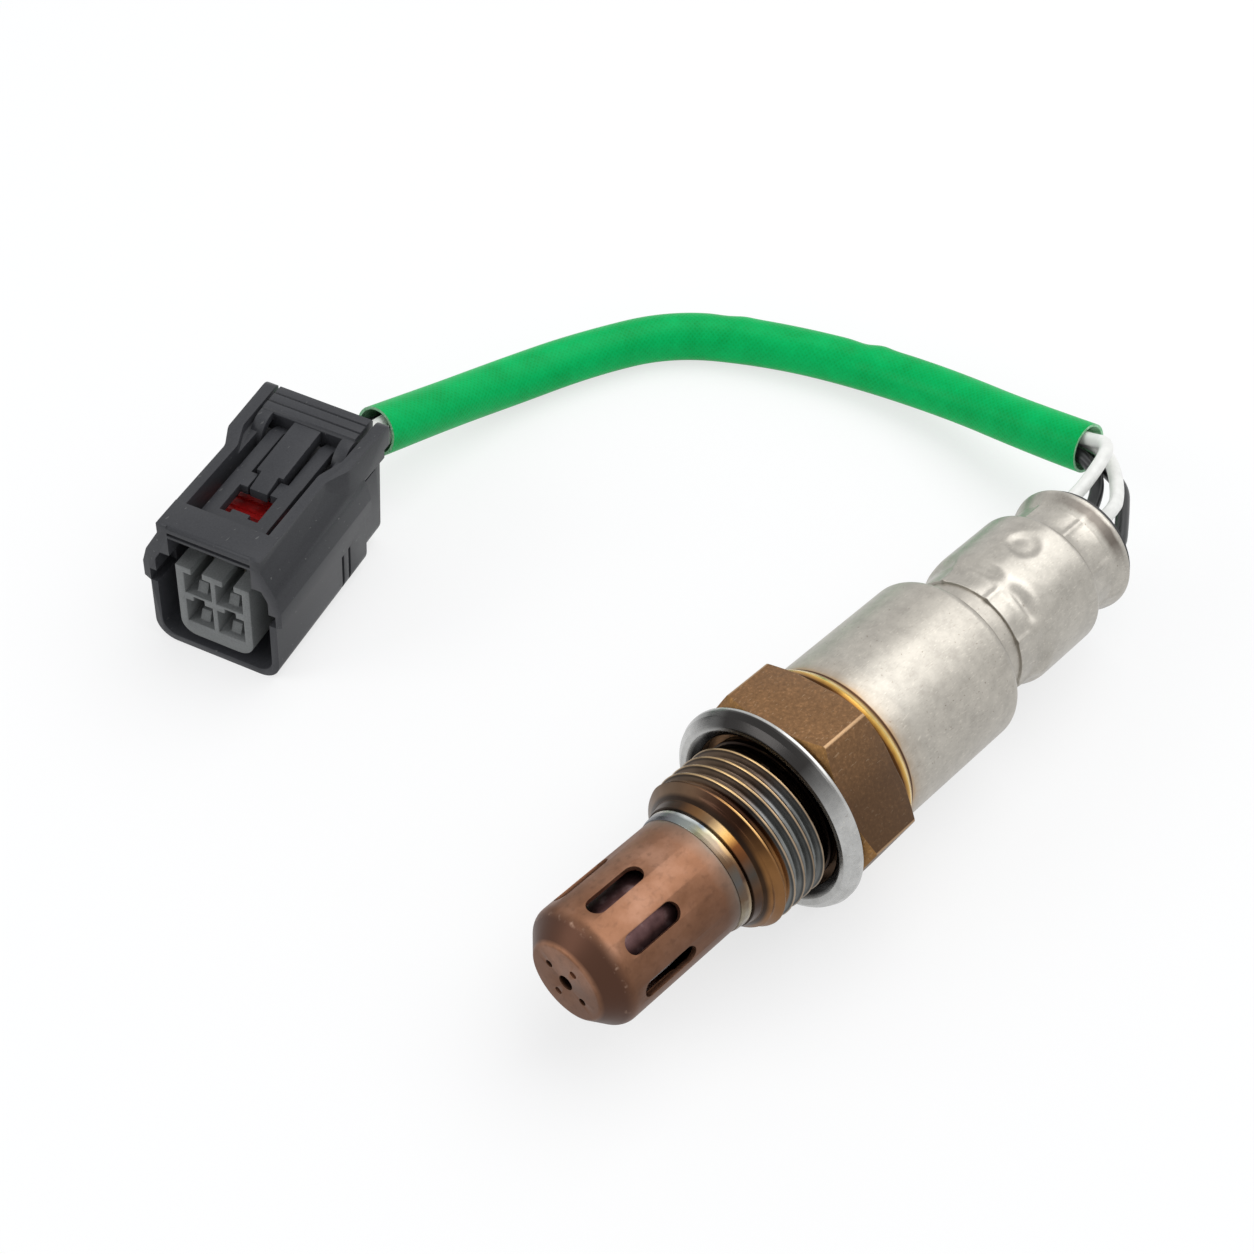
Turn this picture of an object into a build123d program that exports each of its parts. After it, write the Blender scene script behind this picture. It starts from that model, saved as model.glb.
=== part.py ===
from build123d import *
import os
from math import cos, radians, sin, tan

# Exhaust oxygen sensor with its short lead and four-way plug, in millimetres.
# The sensor's axis runs along +X toward the slotted tip, and +Z is up. It lies on a flat
# surface at Z = 0 on its gasket ring, and its own box is centred over the origin.
# Sensor parts are drawn with X = 0 at the hexagon's front face, where the gasket seats.

# ---- sensor: driving dimensions ----
thread_radius = 9.0            # M18
relief_radius = 8.4
thread_start = 3.0             # rear edge of the last crest
thread_pitch = 1.5
thread_turns = 4
thread_depth = 0.75
thread_crest = 0.25            # width of each crest's flat
lead_in_end = 10.4
nose_radius = 7.3
nose_end = 11.4
nose_weld_radius = 6.95
nose_weld_end = 12.7
hex_across_flats = 22.0
hex_length = 7.1
hex_corner_radius = 0.8
hex_roll = 11.2                # degrees, first corner from +Y toward +Z
gasket_radius = 12.0
gasket_thickness = 2.2
tip_x = 30.5
protector_radius = 6.75
protector_wall = 0.5
tip_face_radius = 4.4
slot_count = 8
slot_length = 7.1
slot_width = 2.2
slot_x = 23.0
slot_roll = 9.6                # degrees, first slot from +Y toward +Z
sleeve_radius = 10.1
sleeve_wall = 0.7
sleeve_end = -29.2
weld_radius = 10.9
weld_end = -9.8
neck_radius = 7.25
tube_wall = 0.5
bulge_radius = 8.45
collar_radius = 7.1
lip_radius = 7.85
lip_end = -53.3
grommet_end = -54.6
bore_radius = 7.0              # rear chamber of the shell
flange_radius = 5.4            # ceramic's flange
ceramic_radius = 3.6           # ceramic behind its flange
thimble_radius = 2.9
heater_radius = 1.5
wire_radius = 0.85
wire_circle = 4.2              # the four wires leave the grommet on this radius
wire_roll = 67.0               # degrees, first wire hole from +Y toward +Z
holder_front = -30.0
holder_end = -46.0
straight_end = -57.9           # each wire runs straight out of the grommet to here
sensor_x = 12.5                # hexagon's front face in the finished frame

# ---- plug: driving dimensions (X = 0 at the open face, body toward -X, Y across) ----
plug_length = 25.4
plug_half_width = 8.05
plug_height = 18.7
plug_x, plug_y = 34.15, -63.82
plug_heading = 19.45           # degrees
plug_lean = -1.5               # degrees, it leans on one lower edge
base_round = 2.6
ridge_half_width = 8.8
shroud_wall = 0.9
cavity_depth = 12.7
main_length = 20.5             # full section, before the smaller rear block
channel_floor = 14.1           # floor of the latch channel
roof_height = 16.9             # top of the open cavity
plate_depth = 4.1              # roof plate across the front of the channel
plate_half_width = 6.45
rail_inner = 5.2
rear_half_width = 7.25
latch_top = 17.3
block_half_width = 4.7
block_bottom, block_top = 2.1, 12.95
block_depth = 14.5
cell_y = 2.0
cell_floor = (4.2, 8.85)       # lower pair, upper pair
cell_roof = (7.8, 12.05)
cell_z = (5.9, 10.4)           # height of the wires in them
seal_front = 19.0              # wire seal, measured back from the open face
cover_front = 23.5

# ---- lead: braided sleeve and the four wires in it ----
braid_radius = 3.1
braid_bore = 2.75
bundle_radius = 1.25           # wires in the sleeve, from its centre line
bundle_twist = 90.0            # degrees the wires turn between the sleeve's ends
first_bend = 2.4               # how far from its corner a wire starts to bend at the grommet
plug_straight = 3.4            # straight length of wire behind the plug
braid_route = [
    (-58.3, -9.4, 10.6), (-58.6, -18.5, 8.2), (-59.7, -29.9, 5.2), (-57.7, -42.3, 3.5),
    (-52.1, -54.8, 3.15), (-44.3, -65.1, 3.15), (-32.3, -70.1, 3.15), (-19.8, -72.7, 3.7),
    (-8.4, -72.9, 6.3), (1.7, -72.6, 9.0),
]
# For each wire: its quarter turn round the grommet, its place in the sleeve in quarter
# turns from the bend's outer side, its cell in the plug, and where it curls between.
wires = {
    "wire_white_1": (1, 1, 1, [(-52.8, -4.7, 15.3), (-56.8, -6.4, 14.4)]),
    "wire_white_2": (0, 0, 3, [(-51.2, -1.0, 13.7), (-57.1, -5.4, 12.0)]),
    "wire_black_1": (2, 2, 0, [(-50.8, -3.5, 7.4), (-55.4, -5.3, 9.8)]),
    "wire_black_2": (3, 3, 2, [(-51.6, 0.3, 10.2), (-57.0, -3.1, 9.7)]),
}

sensor_place = Pos(sensor_x, 0, gasket_radius)
edge_drop = ((plug_half_width - base_round) * sin(radians(-plug_lean))
             + base_round * (1 - cos(radians(plug_lean))))
plug_place = Pos(plug_x, plug_y, edge_drop) * Rot(0, 0, plug_heading) * Rot(plug_lean, 0, 0)


def turned(outline, rounds=None):
    """Body of revolution about X from (along, radius) points; rounds maps a point to a radius."""
    face = make_face(Polyline(*outline, close=True))
    for index, radius in (rounds or {}).items():
        corner = face.vertices().sort_by_distance(Vector(*outline[index], 0))[0]
        face = fillet(corner, radius)
    return revolve(face, Axis.X)


def ring(front, back, inner, outer):
    """Plain ring about X between two places."""
    return turned([(front, inner), (front, outer), (back, outer), (back, inner)])


def rod(front, back, radius, y=0.0, z=0.0):
    """Round bar along X."""
    middle = (front + back) / 2
    return Pos(middle, y, z) * Rot(0, 90, 0) * Cylinder(radius, front - back)


def bar(front, back, left, right, low, high):
    """Rectangular bar along X, given by its six faces."""
    centre = ((front + back) / 2, (left + right) / 2, (low + high) / 2)
    return Pos(*centre) * Box(front - back, right - left, high - low)


def drawn(points, front, back, rounds=None):
    """Prism along X from (y, z) points; rounds maps a point to a fillet radius."""
    face = make_face(Polyline(*points, close=True))
    for index, radius in (rounds or {}).items():
        corner = face.vertices().sort_by_distance(Vector(*points[index], 0))[0]
        face = fillet(corner, radius)
    return extrude(Plane((back, 0, 0), x_dir=(0, 1, 0), z_dir=(1, 0, 0)) * face, front - back)


def mirrored(half):
    """Whole outline from the points of its right half, bottom to top."""
    return half + [(-y, z) for y, z in reversed(half)]


# ---- sensor ----
def thread_rings():
    """Outline of the thread from front to back: crests a pitch apart with V grooves between."""
    points = []
    for k in range(thread_turns, -1, -1):
        rear = thread_start + k * thread_pitch
        points += [(rear + thread_crest, thread_radius), (rear, thread_radius),
                   (rear - (thread_pitch - thread_crest) / 2, thread_radius - thread_depth)]
    return points[:-1]


def threaded_shell():
    outline = [
        (nose_weld_end, protector_radius), (nose_weld_end, nose_weld_radius),
        (nose_end, nose_weld_radius), (nose_end, nose_radius), (lead_in_end, nose_radius + 0.1),
        *thread_rings(), (thread_start - 0.5, relief_radius), (0, relief_radius),
        (-hex_length, relief_radius), (-hex_length, sleeve_radius - sleeve_wall),
        (-14.0, sleeve_radius - sleeve_wall), (-14.8, 8.6), (-14.8, 6.0), (-14.0, 6.0),
        (-14.0, bore_radius), (-4.5, bore_radius), (-4.5, 5.6), (-0.5, 5.6), (-0.5, 4.2),
        (9.5, 4.2), (9.5, protector_radius),
    ]
    body = turned(outline)
    hexagon = RegularPolygon(hex_across_flats / 2, 6, major_radius=False)
    hexagon = fillet(hexagon.vertices(), hex_corner_radius)
    side = Plane((-hex_length, 0, 0), x_dir=(0, 1, 0), z_dir=(1, 0, 0))
    prism = extrude(side * (Rot(0, 0, hex_roll) * hexagon), hex_length)
    seat, corner = 10.95, hex_across_flats / 2 / cos(radians(30))
    chamfer = (corner - seat) * tan(radians(30))
    trim = turned([(0, relief_radius), (0, seat), (-chamfer, corner), (-hex_length, corner),
                   (-hex_length, relief_radius)])
    return body + (prism & trim)


def gasket_ring():
    """Folded sealing ring: flat seat, rolled rim and a dished front face."""
    outline = [(0, 9.3), (0, 11.5), (0.45, gasket_radius), (1.1, gasket_radius),
               (1.9, 11.4), (gasket_thickness, 10.8), (2.0, 10.0), (1.2, 9.2)]
    return turned(outline, {3: 0.5})


def outer_protector():
    """Slotted cap: a drawn cup with a bevelled nose, one centre hole and two side holes."""
    wall = protector_wall
    inner = protector_radius - wall
    outline = [
        (9.5, protector_radius), (28.2, protector_radius), (tip_x, tip_face_radius), (tip_x, 0),
        (tip_x - wall, 0), (tip_x - wall, tip_face_radius - 0.2), (28.0, inner), (9.5, inner),
    ]
    cup = turned(outline, {1: 1.8, 2: 0.5})
    slot = extrude(Plane((slot_x, 0, 4.0), x_dir=(1, 0, 0), z_dir=(0, 0, 1))
                   * SlotOverall(slot_length, slot_width), 5.0)
    for k in range(slot_count):
        cup -= Rot(slot_roll - 90 + k * 360 / slot_count, 0, 0) * slot
    cup -= rod(tip_x + 1, tip_x - 1, 0.85)
    for angle, floor in ((-21, 1.0), (69, 0.2), (159, 1.0), (249, 0.2)):
        y, z = 2.4 * cos(radians(angle)), 2.4 * sin(radians(angle))
        cup -= rod(tip_x + 1, tip_x - floor, 0.42, y, z)
    return cup


def inner_protector():
    outer, wall = 5.2, 0.4
    outline = [
        (9.5, protector_radius - protector_wall), (10.0, protector_radius - protector_wall),
        (10.0, outer), (28.4, outer), (28.4, 0), (28.0, 0), (28.0, outer - wall),
        (9.5, outer - wall),
    ]
    cup = turned(outline, {3: 1.4})
    for k in range(6):
        cup -= Rot(k * 60, 0, 0) * Pos(14.5, 0, 5.0) * Cylinder(0.8, 3)
    return cup - rod(29, 27, 0.8)


def seat_washer():
    return ring(-0.5, -1.0, 4.2, flange_radius)


def sensing_thimble():
    """Closed ceramic tube: round end, flange that seats on the washer, open at the rear."""
    outline = [
        (24.5, 0), (24.5, thimble_radius), (2.0, thimble_radius), (0.0, ceramic_radius),
        (-1.0, ceramic_radius), (-1.0, flange_radius), (-4.5, flange_radius),
        (-4.5, ceramic_radius), (-19.0, ceramic_radius), (-19.0, 1.8), (22.6, 1.8), (22.6, 0),
    ]
    return turned(outline, {1: 2.8})


def crimp_ring():
    return ring(-13.0, -14.0, 5.2, bore_radius)


def weld_ring():
    outline = [(-hex_length, sleeve_radius), (-hex_length, weld_radius),
               (weld_end + 1.3, weld_radius), (weld_end + 0.4, weld_radius - 0.3),
               (weld_end, sleeve_radius)]
    return turned(outline)


def front_sleeve():
    """Drawn sleeve: wide barrel, rounded rear shoulder and a narrow neck."""
    inner = sleeve_radius - sleeve_wall
    neck_inner = neck_radius - 0.6
    outline = [
        (-hex_length, sleeve_radius), (sleeve_end, sleeve_radius), (sleeve_end, neck_radius),
        (-37.5, neck_radius), (-37.5, neck_inner), (sleeve_end + sleeve_wall, neck_inner),
        (sleeve_end + sleeve_wall, inner), (-hex_length, inner),
    ]
    return turned(outline, {1: 1.3})


def rear_tube():
    """Crimped tube over the neck: bulged barrel, waist and flared lip."""
    w = tube_wall
    outline = [
        (-32.8, neck_radius), (-32.8, neck_radius + w), (-34.6, neck_radius + w),
        (-37.3, 8.35), (-40.5, bulge_radius), (-46.2, bulge_radius),
        (-47.3, collar_radius), (-51.0, collar_radius),
        (-52.7, lip_radius), (lip_end, lip_radius), (lip_end, lip_radius - w),
        (-52.9, lip_radius - w), (-51.2, collar_radius - w), (-46.9, collar_radius - w),
        (-45.8, bulge_radius - w), (-40.6, bulge_radius - w), (-37.5, neck_radius),
    ]
    return turned(outline, {5: 0.9})


def grommet():
    """Rubber plug squeezed in the waist and the lip, with a low domed face."""
    waist = collar_radius - tube_wall
    head = lip_radius - tube_wall
    outline = [
        (holder_end, 0), (holder_end, waist), (-51.2, waist), (-52.9, head),
        (grommet_end + 0.6, head), (grommet_end, 6.2), (grommet_end, 0),
    ]
    body = turned(outline)
    for y, z in wire_places():
        body -= rod(holder_end + 1, grommet_end - 1, wire_radius, y, z)
    return body


def wire_places():
    """Centres of the four wire holes about the axis, a quarter turn apart."""
    angles = [radians(wire_roll + k * 90) for k in range(4)]
    return [(wire_circle * cos(a), wire_circle * sin(a)) for a in angles]


def contact_holder():
    body = rod(holder_front, holder_end, 6.4) - rod(holder_front + 1, -40.0, heater_radius)
    for y, z in wire_places():
        body -= rod(holder_front + 1, holder_end - 1, 1.2, y, z)
    return body


def contact_strip(front, hole):
    """Flat spring strip along the holder's channel, ending in a crimp barrel."""
    inner, outer = ceramic_radius, ceramic_radius + 0.35
    strip = bar(front, -43.0, -0.7, 0.7, inner, outer)
    barrel = rod(-42.0, holder_end, 0.95, 0, wire_circle)
    return at_hole(hole) * (strip + barrel)


def at_hole(hole):
    """Turns what is drawn on the +Z side round the axis to one of the wire holes."""
    return Rot(wire_roll - 90 + hole * 90, 0, 0)


def signal_contacts():
    """One contact clasps the outside of the ceramic, the other springs into its bore."""
    clasp = ring(-15.0, -18.5, ceramic_radius, ceramic_radius + 0.35)
    outside = clasp + contact_strip(-16.0, 2)
    bore_spring = ring(-16.0, -20.0, heater_radius, 1.8)
    tab = at_hole(3) * bar(-19.2, -20.0, -0.7, 0.7, 1.65, ceramic_radius + 0.35)
    tab -= rod(-19.0, -20.1, 1.6)
    inside = bore_spring + tab + contact_strip(-19.5, 3)
    return [outside, inside]


def heater_contacts():
    """Two strips that bear on the pads at the heater's rear end."""
    found = []
    for hole in (0, 1):
        foot = bar(-26.0, -27.0, -0.7, 0.7, heater_radius, ceramic_radius + 0.35)
        found.append(at_hole(hole) * foot + contact_strip(-26.5, hole))
    return found


# ---- plug ----
def housing_section():
    """Right half of the body's section: flat base, side, ridge and rounded upper flank."""
    w, ridge = plug_half_width, ridge_half_width
    return [(0, 0), (w, 0), (w, 8.9), (ridge, 9.4), (ridge, 11.7), (8.2, 13.9),
            (plate_half_width, 17.2)]


def cavity_section():
    """Right half of the mouth: rounded lower part, shoulder and a straight-sided top."""
    y = plug_half_width - shroud_wall
    return [(y, shroud_wall), (y, 12.7), (6.0, 14.8), (5.3, 14.95), (5.3, roof_height)]


def latch_rail(side):
    """Upright wall beside the latch: straight in front, flared round the thumb pad behind."""
    outer = [(0, plate_half_width), (-14.3, plate_half_width), (-17.2, 7.8), (-26.8, 8.1)]
    inner = [(-26.8, 6.6), (-18.2, 6.4), (-15.0, rail_inner), (0, rail_inner)]
    points = [(x, side * y) for x, y in outer + inner]
    face = make_face(Polyline(*points, close=True))
    for index, radius in ((1, 2.0), (2, 2.0), (3, 0.7), (4, 0.6), (5, 2.0), (6, 2.0)):
        corner = face.vertices().sort_by_distance(Vector(*points[index], 0))[0]
        face = fillet(corner, radius)
    wall = extrude(Pos(0, 0, channel_floor) * face, plug_height - channel_floor)
    profile = [(1, 10), (1, plug_height), (-27.0, plug_height - 0.4), (-27.0, 15.3),
               (-25.1, 15.3), (-25.1, 10)]
    side_face = make_face(Polyline(*profile, close=True))
    corner = side_face.vertices().sort_by_distance(Vector(-27.0, plug_height, 0))[0]
    return wall & extrude(Plane.XZ * fillet(corner, 1.6), 10, both=True)


def side_profile(points, half_width):
    """Prism across the plug from (x, z) points."""
    return extrude(Plane.XZ * make_face(Polyline(*points, close=True)), half_width, both=True)


def latch():
    """Latch lever: panel with its window, two side arms, centre beam and ridged thumb pad."""
    panel = bar(-3.6, -13.0, -4.05, 4.05, latch_top - 1.2, latch_top)
    panel -= bar(-6.3, -10.7, -2.4, 2.4, 15, 18)
    panel -= bar(-10.5, -14.0, -1.45, 1.45, 15, 18)
    tab = bar(-6.0, -7.1, -1.2, 1.0, latch_top - 1.2, latch_top - 0.2)
    arms = []
    for side in (-1, 1):
        near, far = sorted((side * 2.4, side * 4.05))
        arm = side_profile([(-12.5, latch_top - 1.3), (-12.5, latch_top - 0.1),
                            (-20.0, latch_top - 0.1), (-22.4, latch_top - 1.1),
                            (-22.4, latch_top - 2.1), (-19.8, latch_top - 1.3)], 7)
        arms.append(arm & bar(-12.0, -23.0, near, far, 14, 18))
    beam = side_profile([(-10.6, 16.1), (-22.6, 16.4), (-22.6, 18.1), (-20.5, 18.1),
                         (-13.2, 17.8), (-10.6, latch_top)], 1.7)
    beam -= bar(-10.0, -13.2, -3, 3, 15, 19) - bar(-10.0, -13.2, -1.1, 1.1, 14, 20)
    bands = [(-21.8, 15.6), (-26.0, 15.6), (-26.2, 18.0), (-25.9, 18.5)]
    for x in (-24.6, -23.15):
        bands += [(x - 0.15, 18.6), (x, 18.3), (x + 0.15, 18.6)]
    pad = side_profile(bands + [(-22.0, 18.6), (-21.7, 18.2)], 6.0)
    lever = panel + tab + arms + beam + pad
    for y in (-5.3, 5.3):
        lobe = Pos(-21.4, y, 15.6) * Rot(90, 0, 0) * (Cylinder(2.8, 1.5) - Cylinder(1.8, 2))
        lever += lobe & bar(-18.0, -22.0, -7, 7, 15.4, 18.4)
    return lever


def rear_block():
    """Smaller block behind the main body, with two steps under its rear end."""
    half = rear_half_width
    block = drawn(mirrored([(half, 0.4), (half, channel_floor + 0.2)]), -main_length + 1,
                  -plug_length, {0: base_round, 3: base_round})
    for side in (-1, 1):
        near, far = sorted((side * (half - 0.7), side * 9))
        block -= bar(-main_length - 0.1, -24.2, near, far, 12.5, 13.8)
    return block - bar(-24.9, -30, -9, 9, -1, 1.9)


def plug_housing():
    """Charcoal moulding: open shroud, rear block, latch channel and the latch in one piece."""
    outline = mirrored(housing_section()[1:])
    last = len(outline) - 1
    rounds = {}
    for index, radius in ((0, base_round), (3, 0.8), (4, 3.0)):
        rounds[index] = radius
        rounds[last - index] = radius
    body = drawn(outline, 0, -main_length, rounds)
    w = plug_half_width
    body -= drawn(mirrored(cavity_section()), 1, -cavity_depth,
                  {0: 2.0, 9: 2.0, 1: 1.6, 8: 1.6})
    body -= bar(1, -4.0, 0.05 - w, w - 0.05, 9.0, 10.8)
    body += rear_block()
    body -= bar(-plate_depth, -30, -rail_inner, rail_inner, channel_floor, 20)
    plate = bar(0, -plate_depth, -plate_half_width, plate_half_width, roof_height, plug_height)
    front_top = plate.edges().filter_by(Axis.Y).sort_by(Axis.Z)[-2:].sort_by(Axis.X)[-1]
    body += fillet(front_top, 0.5)
    body -= bar(1, -0.35, -w, w, 17.25, 17.7)
    for side in (-1, 1):
        body += latch_rail(side)
        for back, top in ((15.15, 6.9), (16.65, 7.0)):
            body -= bar(-back + 0.5, -back, side * w - 0.4, side * w + 0.4, -1, top)
    body += latch()
    body -= block_pocket()
    for y, z in cell_places():
        body -= rod(-block_depth + 1, -seal_front - 1, wire_radius, y, z)
    return body - drawn(seal_outline(), -seal_front, -plug_length - 1, seal_rounds())


def block_outline(grow=0.0):
    y = block_half_width + grow
    return mirrored([(y, block_bottom - grow), (y, block_top + grow)])


def block_pocket():
    """Blind pocket behind the cavity that holds the terminal block."""
    return drawn(block_outline(), -cavity_depth + 1, -block_depth, {0: 2.0, 3: 2.0})


def cell_places():
    return [(y, z) for z in cell_z for y in (-cell_y, cell_y)]


def terminal_block():
    """Grey insert: four cells with floor tongues, upper pair open along two roof slots."""
    block = drawn(block_outline(), -0.15, -block_depth, {0: 2.0, 3: 2.0})
    for y, z in cell_places():
        upper = z == cell_z[1]
        low, high = cell_floor[upper], cell_roof[upper]
        cell = bar(1, -13.0, y - 1.7, y + 1.7, low, high)
        tongue = side_profile([(-1.0, low), (-1.5, low + 1.3), (-5.0, low + 1.3), (-5.0, low)],
                              0.65)
        block -= cell - Pos(0, y, 0) * tongue
        block -= rod(-12.0, -block_depth - 1, wire_radius, y, z)
        slot_top = block_top + 1 if upper else high + 0.75
        block -= bar(1, -9.0, y - 0.7, y + 0.7, high - 0.5, slot_top)
    return block


def ring_seal():
    """Red seal round the block at the foot of the cavity, with two lips."""
    outer = drawn(block_outline(0.7), -9.8, -cavity_depth, {0: 2.4, 3: 2.4, 1: 0.7, 2: 0.7})
    for x in (-10.4, -11.9):
        outer += drawn(block_outline(1.0), x, x - 0.7, {0: 2.7, 3: 2.7, 1: 1.0, 2: 1.0})
    return outer - drawn(block_outline(), 0, -cavity_depth - 1, {0: 2.0, 3: 2.0})


def plug_terminals():
    """Box contact with a folded neck for each cell."""
    found = []
    for y, z in cell_places():
        box = bar(-5.4, -13.0, y - 1.2, y + 1.2, z - 1.2, z + 1.2)
        box -= bar(-5.0, -12.0, y - 0.9, y + 0.9, z - 0.5, z + 0.9)
        found.append(box + rod(-13.0, -seal_front, wire_radius, y, z))
    return found


def seal_outline():
    return mirrored([(4.6, 3.0), (4.6, 12.5)])


def seal_rounds():
    return {0: 1.6, 3: 1.6, 1: 1.2, 2: 1.2}


def drilled(body, front, back):
    for y, z in cell_places():
        body -= rod(front, back, wire_radius, y, z)
    return body


def wire_seal():
    body = drawn(seal_outline(), -seal_front, -cover_front, seal_rounds())
    return drilled(body, -seal_front + 1, -cover_front - 1)


def rear_cover():
    body = drawn(seal_outline(), -cover_front, -plug_length - 0.3, seal_rounds())
    return drilled(body, -cover_front + 1, -plug_length - 1)


# ---- lead ----
def corner_radii(route):
    """Tangent arc at each corner: 0.45 of the shorter run over tan(half the turn)."""
    points = [Vector(*p) for p in route]
    radii = []
    for a, b, c in zip(points, points[1:], points[2:]):
        half_turn = radians((b - a).get_angle(c - b) / 2)
        radii.append(0.45 * min((b - a).length, (c - b).length) / tan(half_turn))
    return radii


def cord(name, route, radii, radius, bore=0.0):
    """Round tube of straight runs joined by tangent arcs; prints its length and radii."""
    path = FilletPolyline(*route, radius=radii)
    start = Plane(path @ 0, z_dir=path % 0)
    solid = sweep(start * Circle(radius), path=path)
    if bore:
        solid -= sweep(start * Circle(bore), path=path)
    full = (Circle(radius).area - (Circle(bore).area if bore else 0)) * path.length
    print(name, "length %.1f, volume ratio %.4f, bend radii" % (path.length, solid.volume / full),
          " ".join("%.1f" % r for r in radii))
    return solid


def bundle_point(k, turn):
    """Place of a wire beside point k of the sleeve, turned from the bend's outer side."""
    points = [Vector(*p) for p in braid_route]
    before = points[max(k, 1)] - points[max(k, 1) - 1]
    after = points[k + 1] - points[k] if k + 1 < len(points) else before
    along = (before.normalized() + after.normalized()).normalized()
    outward = along.cross(Vector(0, 0, 1)).normalized()
    above = outward.cross(along)
    mitre = cos(radians(before.get_angle(after) / 2))
    offset = outward * (cos(turn) / mitre) + above * sin(turn)
    return tuple(points[k] + offset * bundle_radius)


def in_plug(x, y, z):
    return tuple((plug_place * Pos(x, y, z)).position)


def wire(name):
    """From its contact, through the grommet, its free curl, the sleeve and into its cell."""
    hole, quarter, cell, curl = wires[name]
    y, z = wire_places()[hole]
    route = [(sensor_x + x, y, gasket_radius + z) for x in (holder_end, straight_end)]
    route += curl
    last = len(braid_route) - 1
    for k in range(last + 1):
        route.append(bundle_point(k, radians(quarter * 90 + bundle_twist * k / last)))
    y, z = cell_places()[cell]
    route += [in_plug(x, y, z) for x in (-plug_length - plug_straight, -seal_front)]
    radii = corner_radii(route)
    half_turn = (Vector(*route[1]) - Vector(*route[0])).get_angle(
        Vector(*route[2]) - Vector(*route[1])) / 2
    radii[0] = first_bend / tan(radians(half_turn))
    return cord(name, route, radii, wire_radius)


def green_sleeve():
    return cord("green_sleeve", braid_route, corner_radii(braid_route), braid_radius, braid_bore)


def group(shapes):
    """One node of separate solids."""
    return Compound([solid for shape in shapes for solid in shape.solids()])


def main():
    sensor = {
        "outer_protector": outer_protector(), "inner_protector": inner_protector(),
        "threaded_shell": threaded_shell(), "gasket_ring": gasket_ring(),
        "seat_washer": seat_washer(), "sensing_thimble": sensing_thimble(),
        "heater_rod": rod(20.0, -40.0, heater_radius),
        "talc_ring": ring(-4.5, -8.5, ceramic_radius, bore_radius),
        "insulating_sleeve": ring(-8.5, -13.0, ceramic_radius, bore_radius),
        "crimp_ring": crimp_ring(), "weld_ring": weld_ring(), "front_sleeve": front_sleeve(),
        "rear_tube": rear_tube(), "contact_holder": contact_holder(),
        "holder_spring": ring(-41.0, -44.0, 6.4, bulge_radius - tube_wall),
        "signal_contacts": signal_contacts(), "heater_contacts": heater_contacts(),
        "grommet": grommet(),
    }
    plug = {
        "plug_housing": plug_housing(), "terminal_block": terminal_block(),
        "ring_seal": ring_seal(), "plug_terminals": plug_terminals(),
        "wire_seal": wire_seal(), "rear_cover": rear_cover(),
    }
    os.makedirs("parts", exist_ok=True)
    for place, pieces in ((sensor_place, sensor), (plug_place, plug)):
        for name, shape in pieces.items():
            shapes = shape if isinstance(shape, list) else [shape]
            export_step(group([place * s for s in shapes]), "parts/%s.step" % name)
    export_step(green_sleeve(), "parts/green_sleeve.step")
    for name in wires:
        export_step(wire(name), "parts/%s.step" % name)


main()
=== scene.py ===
from math import acos, atan2, cos, exp, hypot, pi, radians, sin, tan

import bpy
from mathutils import Matrix, Quaternion, Vector


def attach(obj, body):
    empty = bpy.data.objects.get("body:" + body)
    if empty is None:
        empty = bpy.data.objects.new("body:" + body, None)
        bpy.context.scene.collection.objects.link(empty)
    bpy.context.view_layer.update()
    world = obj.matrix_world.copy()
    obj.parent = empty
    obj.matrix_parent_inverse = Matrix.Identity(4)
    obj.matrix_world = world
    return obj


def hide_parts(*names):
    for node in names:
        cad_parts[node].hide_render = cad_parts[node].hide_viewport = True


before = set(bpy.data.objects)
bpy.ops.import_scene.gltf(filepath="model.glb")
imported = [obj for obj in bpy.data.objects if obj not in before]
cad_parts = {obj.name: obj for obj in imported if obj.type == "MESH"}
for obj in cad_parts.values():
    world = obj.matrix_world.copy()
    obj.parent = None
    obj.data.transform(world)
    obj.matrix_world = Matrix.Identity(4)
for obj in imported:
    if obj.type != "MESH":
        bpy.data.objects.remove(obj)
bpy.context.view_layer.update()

# An exhaust oxygen sensor with its sleeved lead and plug. Lengths here are in millimetres
# and are scaled to metres by MM. "Along" means from the hexagon's front face toward the tip,
# and an angle goes round the sensor's axis from +Y toward +Z.
MM = 0.001
AXIS_Z = 12.0                     # height of the sensor's axis
FACE_X = 12.5                     # place of the hexagon's front face
AROUND = 144                      # sides of a turned piece


# ------------ modelling helpers
def nothing_selected():
    if bpy.context.object and bpy.context.object.mode != "OBJECT":
        bpy.ops.object.mode_set(mode="OBJECT")
    bpy.ops.object.select_all(action="DESELECT")


def pick(piece):
    """Selects one piece alone and makes it the active one."""
    nothing_selected()
    piece.select_set(True)
    bpy.context.view_layer.objects.active = piece


def linked(name, data):
    """A new object with its data, in the scene."""
    piece = bpy.data.objects.new(name, data)
    bpy.context.collection.objects.link(piece)
    return piece


def named(name):
    piece = bpy.context.object
    piece.name = name
    piece.data.name = name
    return piece


def settle(piece):
    """Moves a piece's place into its mesh, so that the object itself sits at the origin."""
    pick(piece)
    bpy.ops.object.transform_apply(location=True, rotation=True, scale=True)
    return piece


def edit(piece, select="DESELECT"):
    """Opens a piece in edit mode with all of its mesh selected or deselected."""
    pick(piece)
    bpy.ops.object.mode_set(mode="EDIT")
    bpy.ops.mesh.select_all(action=select)


def finish_edit():
    bpy.ops.object.mode_set(mode="OBJECT")


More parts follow.
